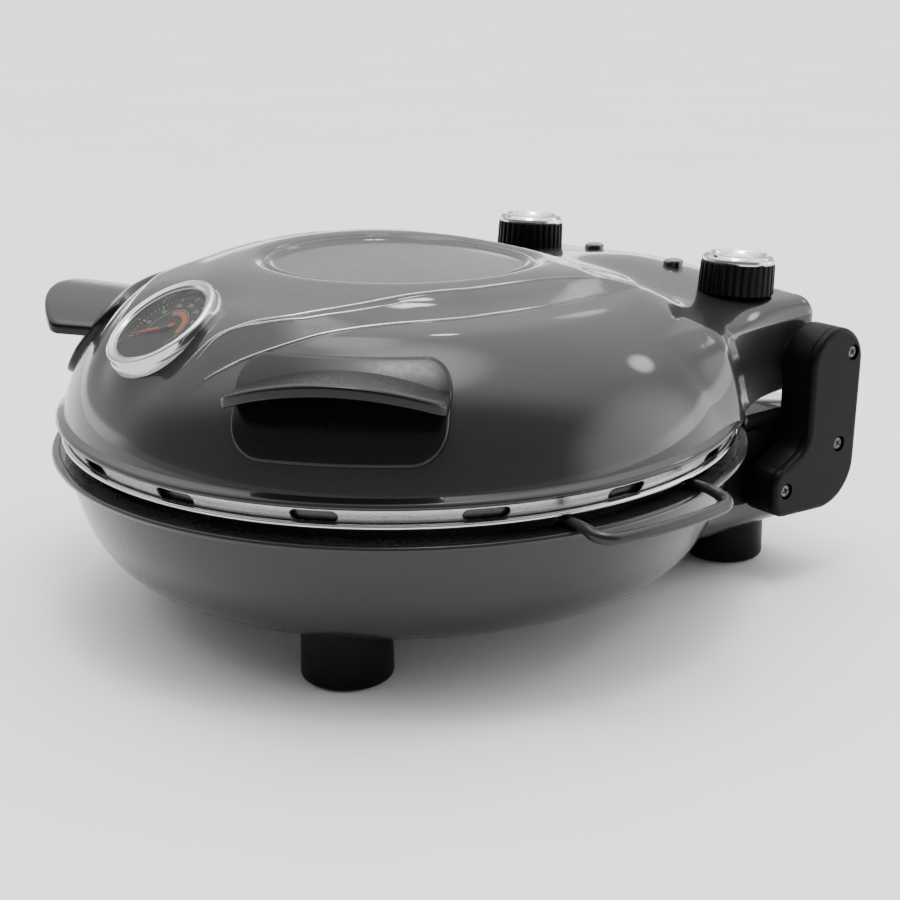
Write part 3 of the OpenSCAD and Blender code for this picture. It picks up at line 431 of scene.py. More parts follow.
def tube(name, centre_line, radius, look, body, steps):
    """A round wire along a line of points in millimetres, of one radius or a radius per point."""
    line = np.asarray(centre_line, float)
    n = len(line)
    radii = np.broadcast_to(radius, n)
    points = []
    side = None
    for i in range(n):
        ahead, behind = line[min(i + 1, n - 1)], line[max(i - 1, 0)]
        along = (ahead - behind) / np.linalg.norm(ahead - behind)
        if side is None:
            side = np.cross(along, (0.1, 0.2, 1))
        side = side - along * (side @ along)
        side /= np.linalg.norm(side)
        other = np.cross(along, side)
        for k in range(steps):
            a = 2 * pi * k / steps
            points.append(line[i] + radii[i] * (cos(a) * side + sin(a) * other))
    ends = [tuple(range(steps)), tuple(reversed(range((n - 1) * steps, n * steps)))]
    return add_mesh(name, points, grid_faces(n, steps, True) + ends, look, body, 50)


def loft(name, rings, look, body, sharp=35, caps=(True, True)):
    """A solid skinned over rings of equally many points, its ends filled where caps says so."""
    count = len(rings[0])
    points = np.concatenate([np.asarray(ring, float) for ring in rings])
    faces = grid_faces(len(rings), count, True)
    if caps[0]:
        faces.append(tuple(reversed(range(count))))
    if caps[1]:
        faces.append(tuple(range((len(rings) - 1) * count, len(rings) * count)))
    return add_mesh(name, points, faces, look, body, sharp, TOUCHING)


def arc(x, y, r, angles):
    return [(x + r * cos(a), y + r * sin(a)) for a in angles]


def circle(x, y, r):
    return arc(x, y, r, np.linspace(0, 2 * pi, 32, endpoint=False))


def inside(loop, x, y):
    """Whether a point lies inside a closed outline."""
    crossings = 0
    for (x0, y0), (x1, y1) in zip(loop, loop[1:] + loop[:1]):
        if (y0 > y) != (y1 > y) and x < x0 + (y - y0) / (y1 - y0) * (x1 - x0):
            crossings += 1
    return crossings % 2 == 1


def plate(outer, holes):
    """Points and triangles that fill an outline round its holes."""
    points, edges = [], []
    for loop in [outer, *holes]:
        start = len(points)
        points += [Vector(p) for p in loop]
        edges += [(start + i, start + (i + 1) % len(loop)) for i in range(len(loop))]
    flat, _, faces, *_ = delaunay_2d_cdt(points, edges, [], 1, 1e-5)
    kept = []
    for face in faces:
        x, y = (sum(flat[i][k] for i in face) / len(face) for k in (0, 1))
        if not any(inside(hole, x, y) for hole in holes):
            kept.append(tuple(face))
    return [tuple(p) for p in flat], kept


# ---- lid shell

DOME_CROWN_R, DOME_FLANK, DOME_FOOT_Z, DOME_RISE = 62.0, 106.9, 83.2, 86.6
DOME_POWER_R, DOME_POWER_Z = 2.14, 2.2
SPINE_RISE, STRIP_SOFT = 4.2, 0.3
LID_EYE_Z, LID_COLUMNS = 96.0, 1080  # rays from this height on the cooking axis sweep out the skin
LID_LIP = ((0.9, 0.0), (1.6, 0.7), (1.8, 6.0))  # a lip turned in along the lower edge: in, up
GAUGE_Y, GAUGE_Z, GAUGE_TILT, GAUGE_HOLE_R = -132.6, 155.3, radians(32.3), 26.0
HOUSING_HALF_W, HOUSING_REAR_Y, HOUSING_EDGE_Z, HOUSING_CORNER_R = 107.5, 193.0, 141.5, 9.0
KNOB_X, KNOB_Y, KNOB_SEAT_Z, KNOB_LEAN = 82.7, 154.3, 144.0, radians(3.5)

# Lines beside the raised spine as (x, y), front to back: the edge of its flat top, then the
# upper and lower edge of the bevelled strip. Behind STRIP_JOIN the first two are one.
STRIP_JOIN = [(84, -21.5), (85.5, -5), (86, 20), (86, 42), (87, 60), (91, 78)]
SPINE_EDGE = [
    (30, -150), (36, -139), (41, -127), (50, -113), (60, -100.5), (65.8, -83.7), (71, -66), (75.7, -48),
    (80, -33), *STRIP_JOIN,
]
STRIP_TOP = [
    (38, -150), (40, -139), (41.5, -127), (46.5, -118), (54, -110), (64, -98), (72, -78), (78, -55),
    (81, -41), *STRIP_JOIN,
]
STRIP_FOOT = [
    (47, -152), (51.5, -139), (56.8, -131), (62, -123), (66.6, -116), (73.3, -104), (82.4, -85), (91, -65),
    (97, -52), (102.5, -36), (105.5, -15), (106.5, 10), (105.5, 30), (101.5, 48), (91, 78),
]
STRIP_TIP_Y = 78
# Polished metal beads beside the strips, whose shine paints the highlights along the strips' creases: the
# line that each follows, its shift, where it starts and ends.
STRIP_BEADS = [
    ("upper", SPINE_EDGE, 0.0, -140, 14), ("lower", STRIP_FOOT, -1.2, -138, 6),
    ("inner", STRIP_TOP, 0.4, -136, -52),
]
BEAD_ENDS_R, BEAD_GROWS = 0.12, 0.43

# Behind the crown the spine sinks towards the housing, whose deck is a low rounded ridge.
SINK = [(0, 0), (30, 0.6), (60, 1.9), (75, 4.2), (90, 7.9), (105, 10.2), (130, 12.6), (200, 12.6)]
RIDGE = [
    (0, 148), (60, 151.1), (75, 151.7), (90, 152.3), (105, 152.8), (120, 153.2), (135, 153.4), (150, 153.0),
    (165, 151.4), (180, 148.3), (195, 144.0),
]
RIDGE_ROUND = 20.0


def along(line, y):
    """The value of a line of (value, y) points at y."""
    values, ys = np.array(line, float).T
    return np.interp(y, ys, values)


def height_at(line, y):
    """The value of a line of (y, value) points at y, softened over a few millimetres."""
    ys, values = np.array(line, float).T
    return sum(np.interp(y + step, ys, values) for step in (-9, -6, -3, 0, 3, 6, 9)) / 7


def bend(t, width):
    """max(t, 0) with its corner rounded over width."""
    return (t + np.sqrt(t * t + width * width)) / 2


def spine_height(x, y):
    """Height of the spine and its strip above the flanks of the lid."""
    side = np.abs(x)
    edge, top, foot = along(SPINE_EDGE, y), along(STRIP_TOP, y), along(STRIP_FOOT, y)
    chamfer = np.where(top - edge > 0.5, 0.15, 0.0) * ease((top - edge) / 4)
    first = chamfer / np.maximum(top - edge, 0.5)
    second = (1 - chamfer) / np.maximum(foot - top, 0.5)
    past_edge, past_top, past_foot = (bend(side - line, STRIP_SOFT) for line in (edge, top, foot))
    fall = first * past_edge + (second - first) * past_top - second * past_foot
    width = np.minimum(1, (foot - top) / 13)
    reach = ease((side - 40) / 45)
    rise = SPINE_RISE * (1 - reach * (1 - width)) * ease((y + 150) / 26)
    rise = np.where(y > STRIP_TIP_Y, SPINE_RISE * (1 - reach), rise)
    # a fine bead runs along both edges of the strip
    length = ease((y + 146) / 10) * ease((56 - y) / 20)
    bead = np.exp(-(((side - edge) / 0.9) ** 2)) + 0.8 * np.exp(-(((side - foot + 1.2) / 0.9) ** 2))
    return rise * np.clip(1 - fall, 0, 1) + 0.24 * length * bead


def lid_relief(x, y):
    """Height added to the plain dome by the spine, the crown panel and the hollow round the gauge."""
    r = np.hypot(x, y)
    relief = spine_height(x, y) - SPINE_RISE * ease((125 - r) / 30)
    relief = relief + 0.7 * ease((r - 66) / 12) * ease((110 - r) / 25)
    relief = relief - height_at(SINK, y) * (1 - ease((np.abs(x) - 54) / 45))
    # crown panel: it lies lower, inside a rounded lip with a fine groove round it
    relief = relief - 1.6 * ease((73 - r) / 7)
    relief = relief + 0.5 * np.exp(-(((r - 65.2) / 1.4) ** 2)) - 0.5 * np.exp(-(((r - 67.8) / 0.7) ** 2))
    relief = relief - 1.6 * ease((63.6 - r) / 1.2)
    # the shell sinks a little round the gauge
    d = np.hypot(x / 0.98, (y - GAUGE_Y) / 0.86)
    return relief - 2.4 * np.exp(-(((d - 30) / 9.5) ** 2))


def plain_dome(r):
    """Height of the dome without its relief, at a distance from the cooking axis."""
    a = np.maximum(r - DOME_CROWN_R, 0) / DOME_FLANK
    return DOME_FOOT_Z + DOME_RISE * (1 - a**DOME_POWER_R) ** (1 / DOME_POWER_Z)


def dome_outside(x, y, z):
    """Positive outside the dome, negative inside."""
    r = np.hypot(x, y)
    z = z - lid_relief(x, y)
    a = np.maximum(r - DOME_CROWN_R, 0) / DOME_FLANK
    b = np.maximum(z - DOME_FOOT_Z, 0) / DOME_RISE
    return a**DOME_POWER_R + b**DOME_POWER_Z - 1


def round_meet(a, b, r):
    """The distance outside two faces that meet in an edge of radius r."""
    u, v = np.maximum(a + r, 0), np.maximum(b + r, 0)
    return np.minimum(-r, np.maximum(a, b)) + np.hypot(u, v)


def housing_outside(x, y, z):
    """Distance outside the control housing, which widens as it runs into the dome."""
    side = np.abs(x)
    half = HOUSING_HALF_W + 12.5 * ease((108 - y) / 26) + 15 * ease((84 - y) / 80)
    ridge = height_at(RIDGE, y)
    slope = (ridge - HOUSING_EDGE_Z) / (np.hypot(half, RIDGE_ROUND) - RIDGE_ROUND)
    deck = ridge - slope * (np.hypot(side, RIDGE_ROUND) - RIDGE_ROUND)
    edge_r = 2 + 8 * ease((y - 80) / 45)
    wall = round_meet(side - half, y - HOUSING_REAR_Y, HOUSING_CORNER_R)
    return round_meet(wall, (z - deck) * 0.97, edge_r)


def ray_hit(outside, rays, eye_z, near, far):
    """How far along each ray from the axis at eye_z the surface lies."""
    dx, dy, dz = rays
    lo = np.full(dx.shape, float(near))
    hi = np.full(dx.shape, float(far))
    for _ in range(34):
        mid = (lo + hi) / 2
        out = outside(dx * mid, dy * mid, eye_z + dz * mid) > 0
        hi = np.where(out, mid, hi)
        lo = np.where(out, lo, mid)
    return (lo + hi) / 2


def sweep(columns, tilt, eye_z, bowl, bowl_reach, rear, blend):
    """Two bodies blended into one skin, seen from eye_z on the cooking axis.

    One row of points per elevation in tilt. blend gives the width of the blend from a point's
    height and from how far it points to the back. Returns the points and their distances.
    """
    az, el = np.meshgrid(np.linspace(0, 2 * np.pi, columns, endpoint=False), tilt)
    rays = np.array([np.cos(el) * np.cos(az), np.cos(el) * np.sin(az), np.sin(el)])
    first = ray_hit(bowl, rays, eye_z, *bowl_reach)
    back = rays[1] > 0.25 * np.cos(el)
    second = np.zeros_like(first)
    second[back] = ray_hit(rear, rays[:, back], eye_z, 20, 290)
    height = eye_z + rays[2] * np.maximum(first, second)
    far = np.where(back, smooth_max(first, second, blend(height, rays[1] / np.cos(el))), first)
    return np.stack([rays[0] * far, rays[1] * far, eye_z + rays[2] * far], axis=-1), far


def inward(edge):
    """Unit vectors in plan from a row of points towards the cooking axis."""
    return -edge[:, :2] / np.linalg.norm(edge[:, :2], axis=1)[:, None]


def lid_rays():
    """Elevations of the rays: fine at the crown's groove and over the strip, coarser elsewhere."""
    crown = [atan2(73.5, r) for r in list(np.arange(5, 60, 5)) + list(np.arange(60, 72, 0.25))]
    rise = [atan2(plain_dome(r) - LID_EYE_Z, r) for r in np.arange(72, 142, 0.55)]
    steep = list(np.linspace(rise[-1], 0.0, 72))[1:]
    return np.array(crown + rise + steep)


def make_strip_beads():
    """Fine polished beads along the edges of the bevelled strips, bright metal that paints the highlights of
    the creases.
    """
    for name, line, shift, start, end in STRIP_BEADS:
        y = np.linspace(start, end, 90)
        x = sum(along(line, y + step) for step in (-3, -1.5, 0, 1.5, 3)) / 5 + shift
        thickness = BEAD_ENDS_R + BEAD_GROWS * np.minimum(ease((y - start) / 14), ease((end - y) / 22))
        for side, word in SIDES:
            top = plain_dome(np.hypot(side * x, y)) + lid_relief(side * x, y)
            points = np.column_stack([side * x, y, top - BEAD_ENDS_R])
            show(tube(f"strip_bead_{name}_{word}", points, thickness, "bead", "lid", 12))


def open_gauge_hole(points, faces):
    """Drops the faces behind the thermometer, inside its bezel."""
    c, s = cos(GAUGE_TILT), sin(GAUGE_TILT)
    across = np.hypot(points[:, 0], (points[:, 1] - GAUGE_Y) * c + (points[:, 2] - GAUGE_Z) * s)
    inner = (across < GAUGE_HOLE_R) & (points[:, 1] < -90) & (points[:, 2] > 120)
    return [face for face in faces if not all(inner[i] for i in face)]


def lid_blend(height, to_back):
    return 12.0 + 60.0 * ease((150 - height) / 20) * ease((to_back - 0.28) / 0.34)


def make_lid_skin():
    grid, _ = sweep(LID_COLUMNS, lid_rays(), LID_EYE_Z, dome_outside, (40, 230), housing_outside, lid_blend)
    edge = grid[-1]
    rows = [grid]
    for step, up in LID_LIP:
        rows.append(np.column_stack([edge[:, :2] + inward(edge) * step, edge[:, 2] + up])[None])
    grid = np.concatenate(rows)
    points = np.concatenate([grid.reshape(-1, 3), [[0, 0, grid[0, :, 2].mean()]]])
    faces = grid_faces(len(grid), LID_COLUMNS, True)
    faces += [(len(points) - 1, (j + 1) % LID_COLUMNS, j) for j in range(LID_COLUMNS)]
    skin = add_mesh("lid_skin", points, open_gauge_hole(points, faces), "paint", "lid")
    show(skin, "lid_shell")
    brim = rounded([
        (160.0, 103.0, 0), (165.8, 102.2, 0), (166.6, 101.4, 1.0), (170.6, 99.7, 1.2), (172.1, 98.2, 1.3),
        (170.9, 96.7, 0.8), (169.7, 97.2, 0.3), (169.4, 98.2, 0),
    ])
    show(revolve("lid_brim", brim, "paint", "lid", steps=360, sharp=50))


# ---- base shell

BASE_EYE_Z, BASE_COLUMNS, BASE_BLEND = 79.0, 720, 26.0
BOWL_FLOOR_R, BOWL_NECK_R, BOWL_FLOOR_Z, BOWL_NECK_Z = 126.7, 167.5, 25.0, 79.7
BOWL_POWER_R, BOWL_POWER_Z = 3.01, 1.49
TAIL_HALF_W, TAIL_REAR_Y, TAIL_LOW_Z, TAIL_TOP_Z = 108.5, 189.0, 20.0, 86.0
TAIL_FROM_R, TAIL_INNER_R, TAIL_BEVEL = 176.2, 175.2, 2.0


def bowl_outside(x, y, z):
    r = np.hypot(x, y)
    a = np.maximum(r - BOWL_FLOOR_R, 0) / (BOWL_NECK_R - BOWL_FLOOR_R)
    b = np.maximum(BOWL_NECK_Z - z, 0) / (BOWL_NECK_Z - BOWL_FLOOR_Z)
    return a**BOWL_POWER_R + b**BOWL_POWER_Z - 1


def tail_outside(x, y, z):
    low = TAIL_LOW_Z + (BOWL_FLOOR_Z - TAIL_LOW_Z) * ease((124 - y) / 26)
    wall = round_meet(np.abs(x) - TAIL_HALF_W, y - TAIL_REAR_Y, 10.0)
    return round_meet(wall, low - z, 13.0)


def base_blend(height, to_back):
    return BASE_BLEND


def make_base_skin():
    tilt = -np.radians(np.concatenate([np.linspace(88, 30, 60), np.linspace(30, 0, 90)[1:]]))
    grid, far = sweep(BASE_COLUMNS, tilt, BASE_EYE_Z, bowl_outside, (20, 240), tail_outside, base_blend)
    # above the eye the tail's wall goes straight up to its deck, and the bowl's neck meets the rim
    top = grid[-1].copy()
    in_tail = far[-1] > TAIL_FROM_R
    bevel = np.where(in_tail, TAIL_BEVEL, 0.0)
    top[:, 2] = np.where(in_tail, TAIL_TOP_Z - TAIL_BEVEL, BASE_EYE_Z + 1.2)
    deck = np.column_stack([top[:, :2] + inward(top) * bevel[:, None], top[:, 2] + bevel])
    inner = deck.copy()
    inner[:, :2] = np.where(in_tail[:, None], -inward(top) * TAIL_INNER_R, inner[:, :2])
    rows = np.concatenate([grid, top[None], deck[None], inner[None]])
    points = np.concatenate([rows.reshape(-1, 3), [[0, 0, BOWL_FLOOR_Z]]])
    faces = grid_faces(len(rows), BASE_COLUMNS, True)
    faces += [(len(points) - 1, j, (j + 1) % BASE_COLUMNS) for j in range(BASE_COLUMNS)]
    show(add_mesh("base_skin", points, faces, "paint", "base", 50), "base_shell")
    rim = rounded([
        (165.4, 81.4, 0), (170.9, 81.4, 0.2), (171.1, 82.5, 0.3), (174.2, 82.5, 0.9), (175.0, 81.2, 1.0),
        (174.3, 79.7, 0.8), (172.6, 79.4, 0.6), (168.2, 79.8, 0.8), (167.3, 78.6, 0),
    ])
    show(revolve("base_rim", rim, "paint", "base", steps=360, sharp=50))


# ---- vents, ring, reflector

VENT_AT = [-157.5, -135, -112.5, -90, -67.5, -45, -22.5, 0, 19.8, 42.2, 66.4, 89.2, 112.5, 135, 157.5, 180]
SLOT_W, SLOT_H, SLOT_Z = 20.5, 5.7, 93.1
BAND_LOW, BAND_HIGH, BAND_THICK = (166.6, 89.3), (170.2, 97.6), 1.0
RING_R, RING_Z, RING_TUBE = 168.3, 88.9, 1.2


def band_point(az, z, inset):
    t = (z - BAND_LOW[1]) / (BAND_HIGH[1] - BAND_LOW[1])
    r = BAND_LOW[0] + t * (BAND_HIGH[0] - BAND_LOW[0]) - inset
    return (r * sin(az), -r * cos(az), z)


def make_vent_band():
    """A cone of thin steel with round-ended slots, above and below which its points stand in columns."""
    half, round_r = (SLOT_W - SLOT_H) / 2, SLOT_H / 2
    ends = [half + round_r * sin(a) for a in np.radians(np.linspace(0, 90, 9))]
    right = [0.0, half * 0.25, half * 0.5, half * 0.75] + ends
    opening = [-x for x in reversed(right[1:])] + right
    band = Patches()
    for i, azimuth in enumerate(VENT_AT):
        before, after = (azimuth - VENT_AT[i - 1]) % 360, (VENT_AT[(i + 1) % len(VENT_AT)] - azimuth) % 360
        start_x, end_x = (RING_R * radians(gap) / 2 for gap in (before, after))
        across = [-start_x + (start_x + opening[0]) * k / 6 for k in range(6)] + opening
        across += [ends[-1] + (end_x - ends[-1]) * k / 6 for k in range(1, 7)]
        n = len(across)
        beside = [k for k in range(n - 1) if max(abs(across[k]), abs(across[k + 1])) < ends[-1] + 0.01]
        for sign, end_z in ((1, BAND_HIGH[1]), (-1, BAND_LOW[1])):
            over = [min(max(abs(x) - half, 0), round_r) for x in across]
            slot_z = [SLOT_Z + sign * sqrt(round_r**2 - x**2) for x in over]
            points = []
            for heights, inset in (([end_z] * n, 0), (slot_z, 0), (slot_z, BAND_THICK)):
                for x, z in zip(across, heights):
                    points.append(band_point(radians(azimuth) + x / RING_R, z, inset))
            faces = [(k, k + 1, k + 1 + n, k + n) for k in range(n - 1)]
            faces += [(k + n, k + n + 1, k + 1 + 2 * n, k + 2 * n) for k in beside]
            band.add(points, faces)
    piece = add_mesh("vent_band_skin", band.points, band.faces, "brushed", "lid", 40, 2e-5)
    show(piece, "vent_band")
    around = np.radians(range(0, 361, 15))
    ring = arc(RING_R, RING_Z, RING_TUBE, around)
    show(revolve("chrome_ring", ring, "chrome", "lid", steps=360, sharp=60), "reflector_ring")


def make_reflector():
    """A bright dish inside a dark one, whose flange lies under the vent band."""
    dome = []
    for u in np.radians(np.linspace(0, 90, 48)):
        dome.append((60 + 104 * cos(u) ** 0.93, 95 + 40 * sin(u) ** 0.9))
    inner = [(max(r - 0.8, 0), z - 0.8) for r, z in dome]
    for name, profile, look in (
        ("reflector_dish", [(166.6, 88.5), (163.2, 88.5)] + inner + [(0, 134.2)], "sheet"),
        ("reflector_outside", [(166.6, 88.5), (166.6, 89.3), (164.0, 89.3)] + dome + [(0, 135)], "enamel"),
    ):
        show(revolve(name, profile, look, "lid", steps=240, sharp=40), "lid_reflector")


# ---- lid handles

HANDLE_TURN = radians(45)
PLATE_HALF_W, PLATE_LOW_Z, PLATE_HIGH_Z = 45.5, 112.6, 150.0
VISOR_REACH, VISOR_PLAN_R, VISOR_HALF_W, VISOR_CORNER_R = 180.0, 81.0, 46.5, 7.0
VISOR_Z, VISOR_ARCH_R, VISOR_RISE = 151.0, 122.0, radians(6)


def on_dome(side, s, z, proud):
    """A point on the dome beside a handle's middle plane: s across, z up, proud of the surface."""
    b = np.clip((z - DOME_FOOT_Z) / DOME_RISE, 0, 0.999)
    r = DOME_CROWN_R + DOME_FLANK * (1 - b**DOME_POWER_Z) ** (1 / DOME_POWER_R)
    a = (r - DOME_CROWN_R) / DOME_FLANK
    out = DOME_POWER_R * a ** (DOME_POWER_R - 1) / DOME_FLANK
    up = DOME_POWER_Z * b ** (DOME_POWER_Z - 1) / DOME_RISE
    length = np.hypot(out, up)
    r, z = r + proud * out / length, z + proud * up / length
    return at_handle(side, np.sqrt(r**2 - s**2), s, z)


def at_handle(side, reach, s, z):
    """A point from its reach along a handle's middle plane, its offset across it and its height."""
    turn = side * HANDLE_TURN
    x = reach * sin(turn) + s * cos(turn)
    y = -reach * cos(turn) + s * sin(turn)
    return np.stack([x, y, np.broadcast_to(z, np.shape(x))], axis=-1)


def handle_loop(inset):
    """The outline of a handle's plate, set in by inset, as (across, up)."""
    half, low, high = PLATE_HALF_W - inset, PLATE_LOW_Z + inset, PLATE_HIGH_Z - inset
    room = (high - low) / 2 - 0.01
    path = []
    for x, z, r, start in (
        (-1, low, 14.0, 180), (1, low, 14.0, 270), (1, high, 12.0, 0), (-1, high, 12.0, 90),
    ):
        r = min(max(r - inset, 0.5), room)
        cx, cz = x * (half - r), z + (r if z == low else -r)
        path += arc(cx, cz, r, np.radians(np.linspace(start, start + 90, 9)))
    dense = []
    for (x0, z0), (x1, z1) in zip(path, path[1:] + path[:1]):
        steps = 24 if abs(x1 - x0) > 20 else 1
        dense += [(x0 + (x1 - x0) * k / steps, z0 + (z1 - z0) * k / steps) for k in range(steps)]
    return np.array(dense)


def visor_loop(inset):
    """The visor's edge in plan, from one root round the front to the other, as (reach, across)."""
    centre, radius = VISOR_REACH - VISOR_PLAN_R, VISOR_PLAN_R - inset
    r, half = max(VISOR_CORNER_R - inset, 0.8), VISOR_HALF_W - inset
    turn = asin((half - r) / (radius - r))
    corner = centre + (radius - r) * cos(turn)
    right = arc(centre, 0, radius, np.linspace(0, turn, 21))
    right += arc(corner, half - r, r, np.linspace(turn, pi / 2, 10)[1:])
    right += [(corner + (125 - corner) * k / 6, half - 3 * k / 6) for k in range(1, 7)]
    left = [(x, -y) for x, y in right[1:]]
    return np.array(left[::-1] + right)


def visor_top(reach, s):
    rise = tan(VISOR_RISE) * (reach - VISOR_REACH)
    return VISOR_Z - VISOR_ARCH_R + rise + np.sqrt(VISOR_ARCH_R**2 - s**2) / cos(VISOR_RISE)


def make_lid_handle(side, name):
    rings = []
    for inset, proud in (
        (0, -1.5), (0, 2.2), (0.25, 2.9), (0.8, 3.35), (1.7, 3.5), (5, 3.5), (9, 3.5), (14, 3.5), (18.4, 3.5),
    ):
        loop = handle_loop(inset)
        rings.append(on_dome(side, loop[:, 0], loop[:, 1], proud))
    show(loft(name + "_plate", rings, "grip", "lid", 40, (False, True)), name)

    # the visor's rounded edge, from its top face round to its underside, as (inset, drop)
    edge = [
        (3.6, 0), (1.7, -0.08), (0.7, -0.4), (0.15, -1.0), (0, -1.7), (0, -4.2), (0.2, -4.9), (0.8, -5.3),
        (1.6, -5.2), (2.6, -4.5), (3.6, -3.9),
    ]
    visor = Patches()
    points = []
    for inset, drop in edge:
        reach, s = visor_loop(inset).T
        points += list(at_handle(side, reach, s, visor_top(reach, s) + drop))
    visor.add(points, grid_faces(len(edge), len(points) // len(edge), False))
    loop = visor_loop(edge[0][0])
    rows, across = len(loop) // 2 + 1, 28
    for _, drop in (edge[0], edge[-1]):
        points = []
        for k in range(rows):
            s = np.linspace(loop[k][1], loop[-1 - k][1], across)
            points += list(at_handle(side, np.full(across, loop[k][0]), s, visor_top(loop[k][0], s) + drop))
        visor.add(points, grid_faces(rows, across, False))
    piece = add_mesh(name + "_visor", visor.points, visor.faces, "grip", "lid", 50, 3e-5)
    show(piece, name)


# ---- hinge towers

TOWER_X, TOWER_SEAM_X, TOWER_OUT_X = 112.5, 129.4, 134.0
TOWER_EDGE = 2.8  # how far the cover's edge is rounded off
SCREW_SPOTS = [(189, 117), (183, 69), (144, 51)]
SCREW_WELL_R, SCREW_WELL_X, SCREW_HEAD_R = 4.2, 131.4, 3.3
SCREW_ARM, SCREW_ARM_HALF_W, SCREW_RECESS = 2.1, 0.45, 1.1


def tower_outline(inset):
    """The side view of a hinge tower as (y, z), set in by inset."""
    path = []
    for y, z, r, start, end, steps in (
        (178, 112, 19 - inset, 0, 180, 40), (145, 80, 14 + inset, 0, -75, 16),
        (143, 55, 8 - inset, 90, 180, 12), (144.5, 46.5, 9.5 - inset, 180, 270, 12),
        (172.5, 59.5, 24 - inset, 270, 360, 16),
    ):
        path += arc(y, z, r, np.radians(np.linspace(start, end, steps + 1)))
    return path


def tower_rings(side, stages):
    return [[(side * x, y, z) for y, z in tower_outline(inset)] for x, inset in stages]


def make_tower(side, name):
    arm = [
        (TOWER_X, 2.4), (TOWER_X + 0.3, 1.2), (TOWER_X + 1.2, 0.3), (TOWER_X + 2.4, 0),
        (TOWER_SEAM_X - 0.5, 0), (TOWER_SEAM_X - 0.15, 0.15), (TOWER_SEAM_X, 0.7),
    ]
    piece = loft("hinge_arm_skin_" + name, tower_rings(side, arm), "moulded", "base")
    show(piece, "hinge_arm_" + name)

    rings = tower_rings(side, [
        (TOWER_SEAM_X + 0.1, 0.9), (TOWER_SEAM_X + 0.2, 0.25), (TOWER_SEAM_X + 0.5, 0),
        (TOWER_OUT_X - 2.2, 0), (TOWER_OUT_X - 1.2, 0.3), (TOWER_OUT_X - 0.5, 0.9),
        (TOWER_OUT_X - 0.12, 1.8), (TOWER_OUT_X, TOWER_EDGE),
    ])
    n = len(rings[0])
    holes = [circle(y, z, SCREW_WELL_R) for y, z in SCREW_SPOTS]
    flat, triangles = plate(tower_outline(TOWER_EDGE), holes)
    cover = Patches()
    cover.add(sum(rings, []), grid_faces(len(rings), n, True) + [tuple(reversed(range(n)))])
    cover.add([(side * TOWER_OUT_X, y, z) for y, z in flat], triangles)
    for hole in holes:
        cover.sink(hole, side * TOWER_OUT_X, side * SCREW_WELL_X)
    piece = add_mesh("hinge_cover_skin_" + name, cover.points, cover.faces, "moulded", "base", 35, 5e-6)
    for face in piece.data.polygons:  # the flat faces across x stay flat
        face.use_smooth = abs(face.normal.x) < 0.9999
    show(piece, "hinge_cover_" + name)
    for i, (y, z) in enumerate(SCREW_SPOTS):
        make_screw(f"hinge_screw_{name}_{i}", side, y, z, "hinge_screws_" + name)


def turned_by(outline, angle):
    c, s = cos(angle), sin(angle)
    return [(x * c - y * s, x * s + y * c) for x, y in outline]


def make_screw(name, side, y, z, node):
    """A pan head with a cross recess, looking out along x."""
    turn = 0.35 + 0.8 * (y + z) % 1.5  # no two screws stop at the same angle
    long, half = SCREW_ARM, SCREW_ARM_HALF_W
    cross = []
    for quarter in range(4):
        arm = turned_by([(half, half), (long, half), (long, -half)], turn - quarter * pi / 2)
        cross += [(y + u, z + v) for u, v in arm]
    top, r = SCREW_WELL_X + 1.8, SCREW_HEAD_R
    stages = [(SCREW_WELL_X - 0.2, r), (top - 0.9, r), (top - 0.3, r - 0.3), (top, r - 0.9)]
    rings = [[(side * x, *p) for p in circle(y, z, radius)] for x, radius in stages]
    flat, triangles = plate(circle(y, z, r - 0.9), [cross])
    head = Patches()
    head.add(sum(rings, []), grid_faces(len(rings), len(rings[0]), True))
    head.add([(side * top, *p) for p in flat], triangles)
    head.sink(cross, side * top, side * (top - SCREW_RECESS))
    show(add_mesh(name, head.points, head.faces, "blackened", "base", 35, 5e-6), node)


# ---- knobs

KNOB_RIBS, KNOB_SKIRT_H, RIB_DEPTH = 30, 16.4, 0.85


def tilted(points, tilt, x, y, z):
    """Points turned about the x axis by tilt, then moved."""
    px, py, pz = np.array(points, float).T
    c, s = cos(tilt), sin(tilt)
    return np.column_stack([px + x, y + py * c - pz * s, z + py * s + pz * c])


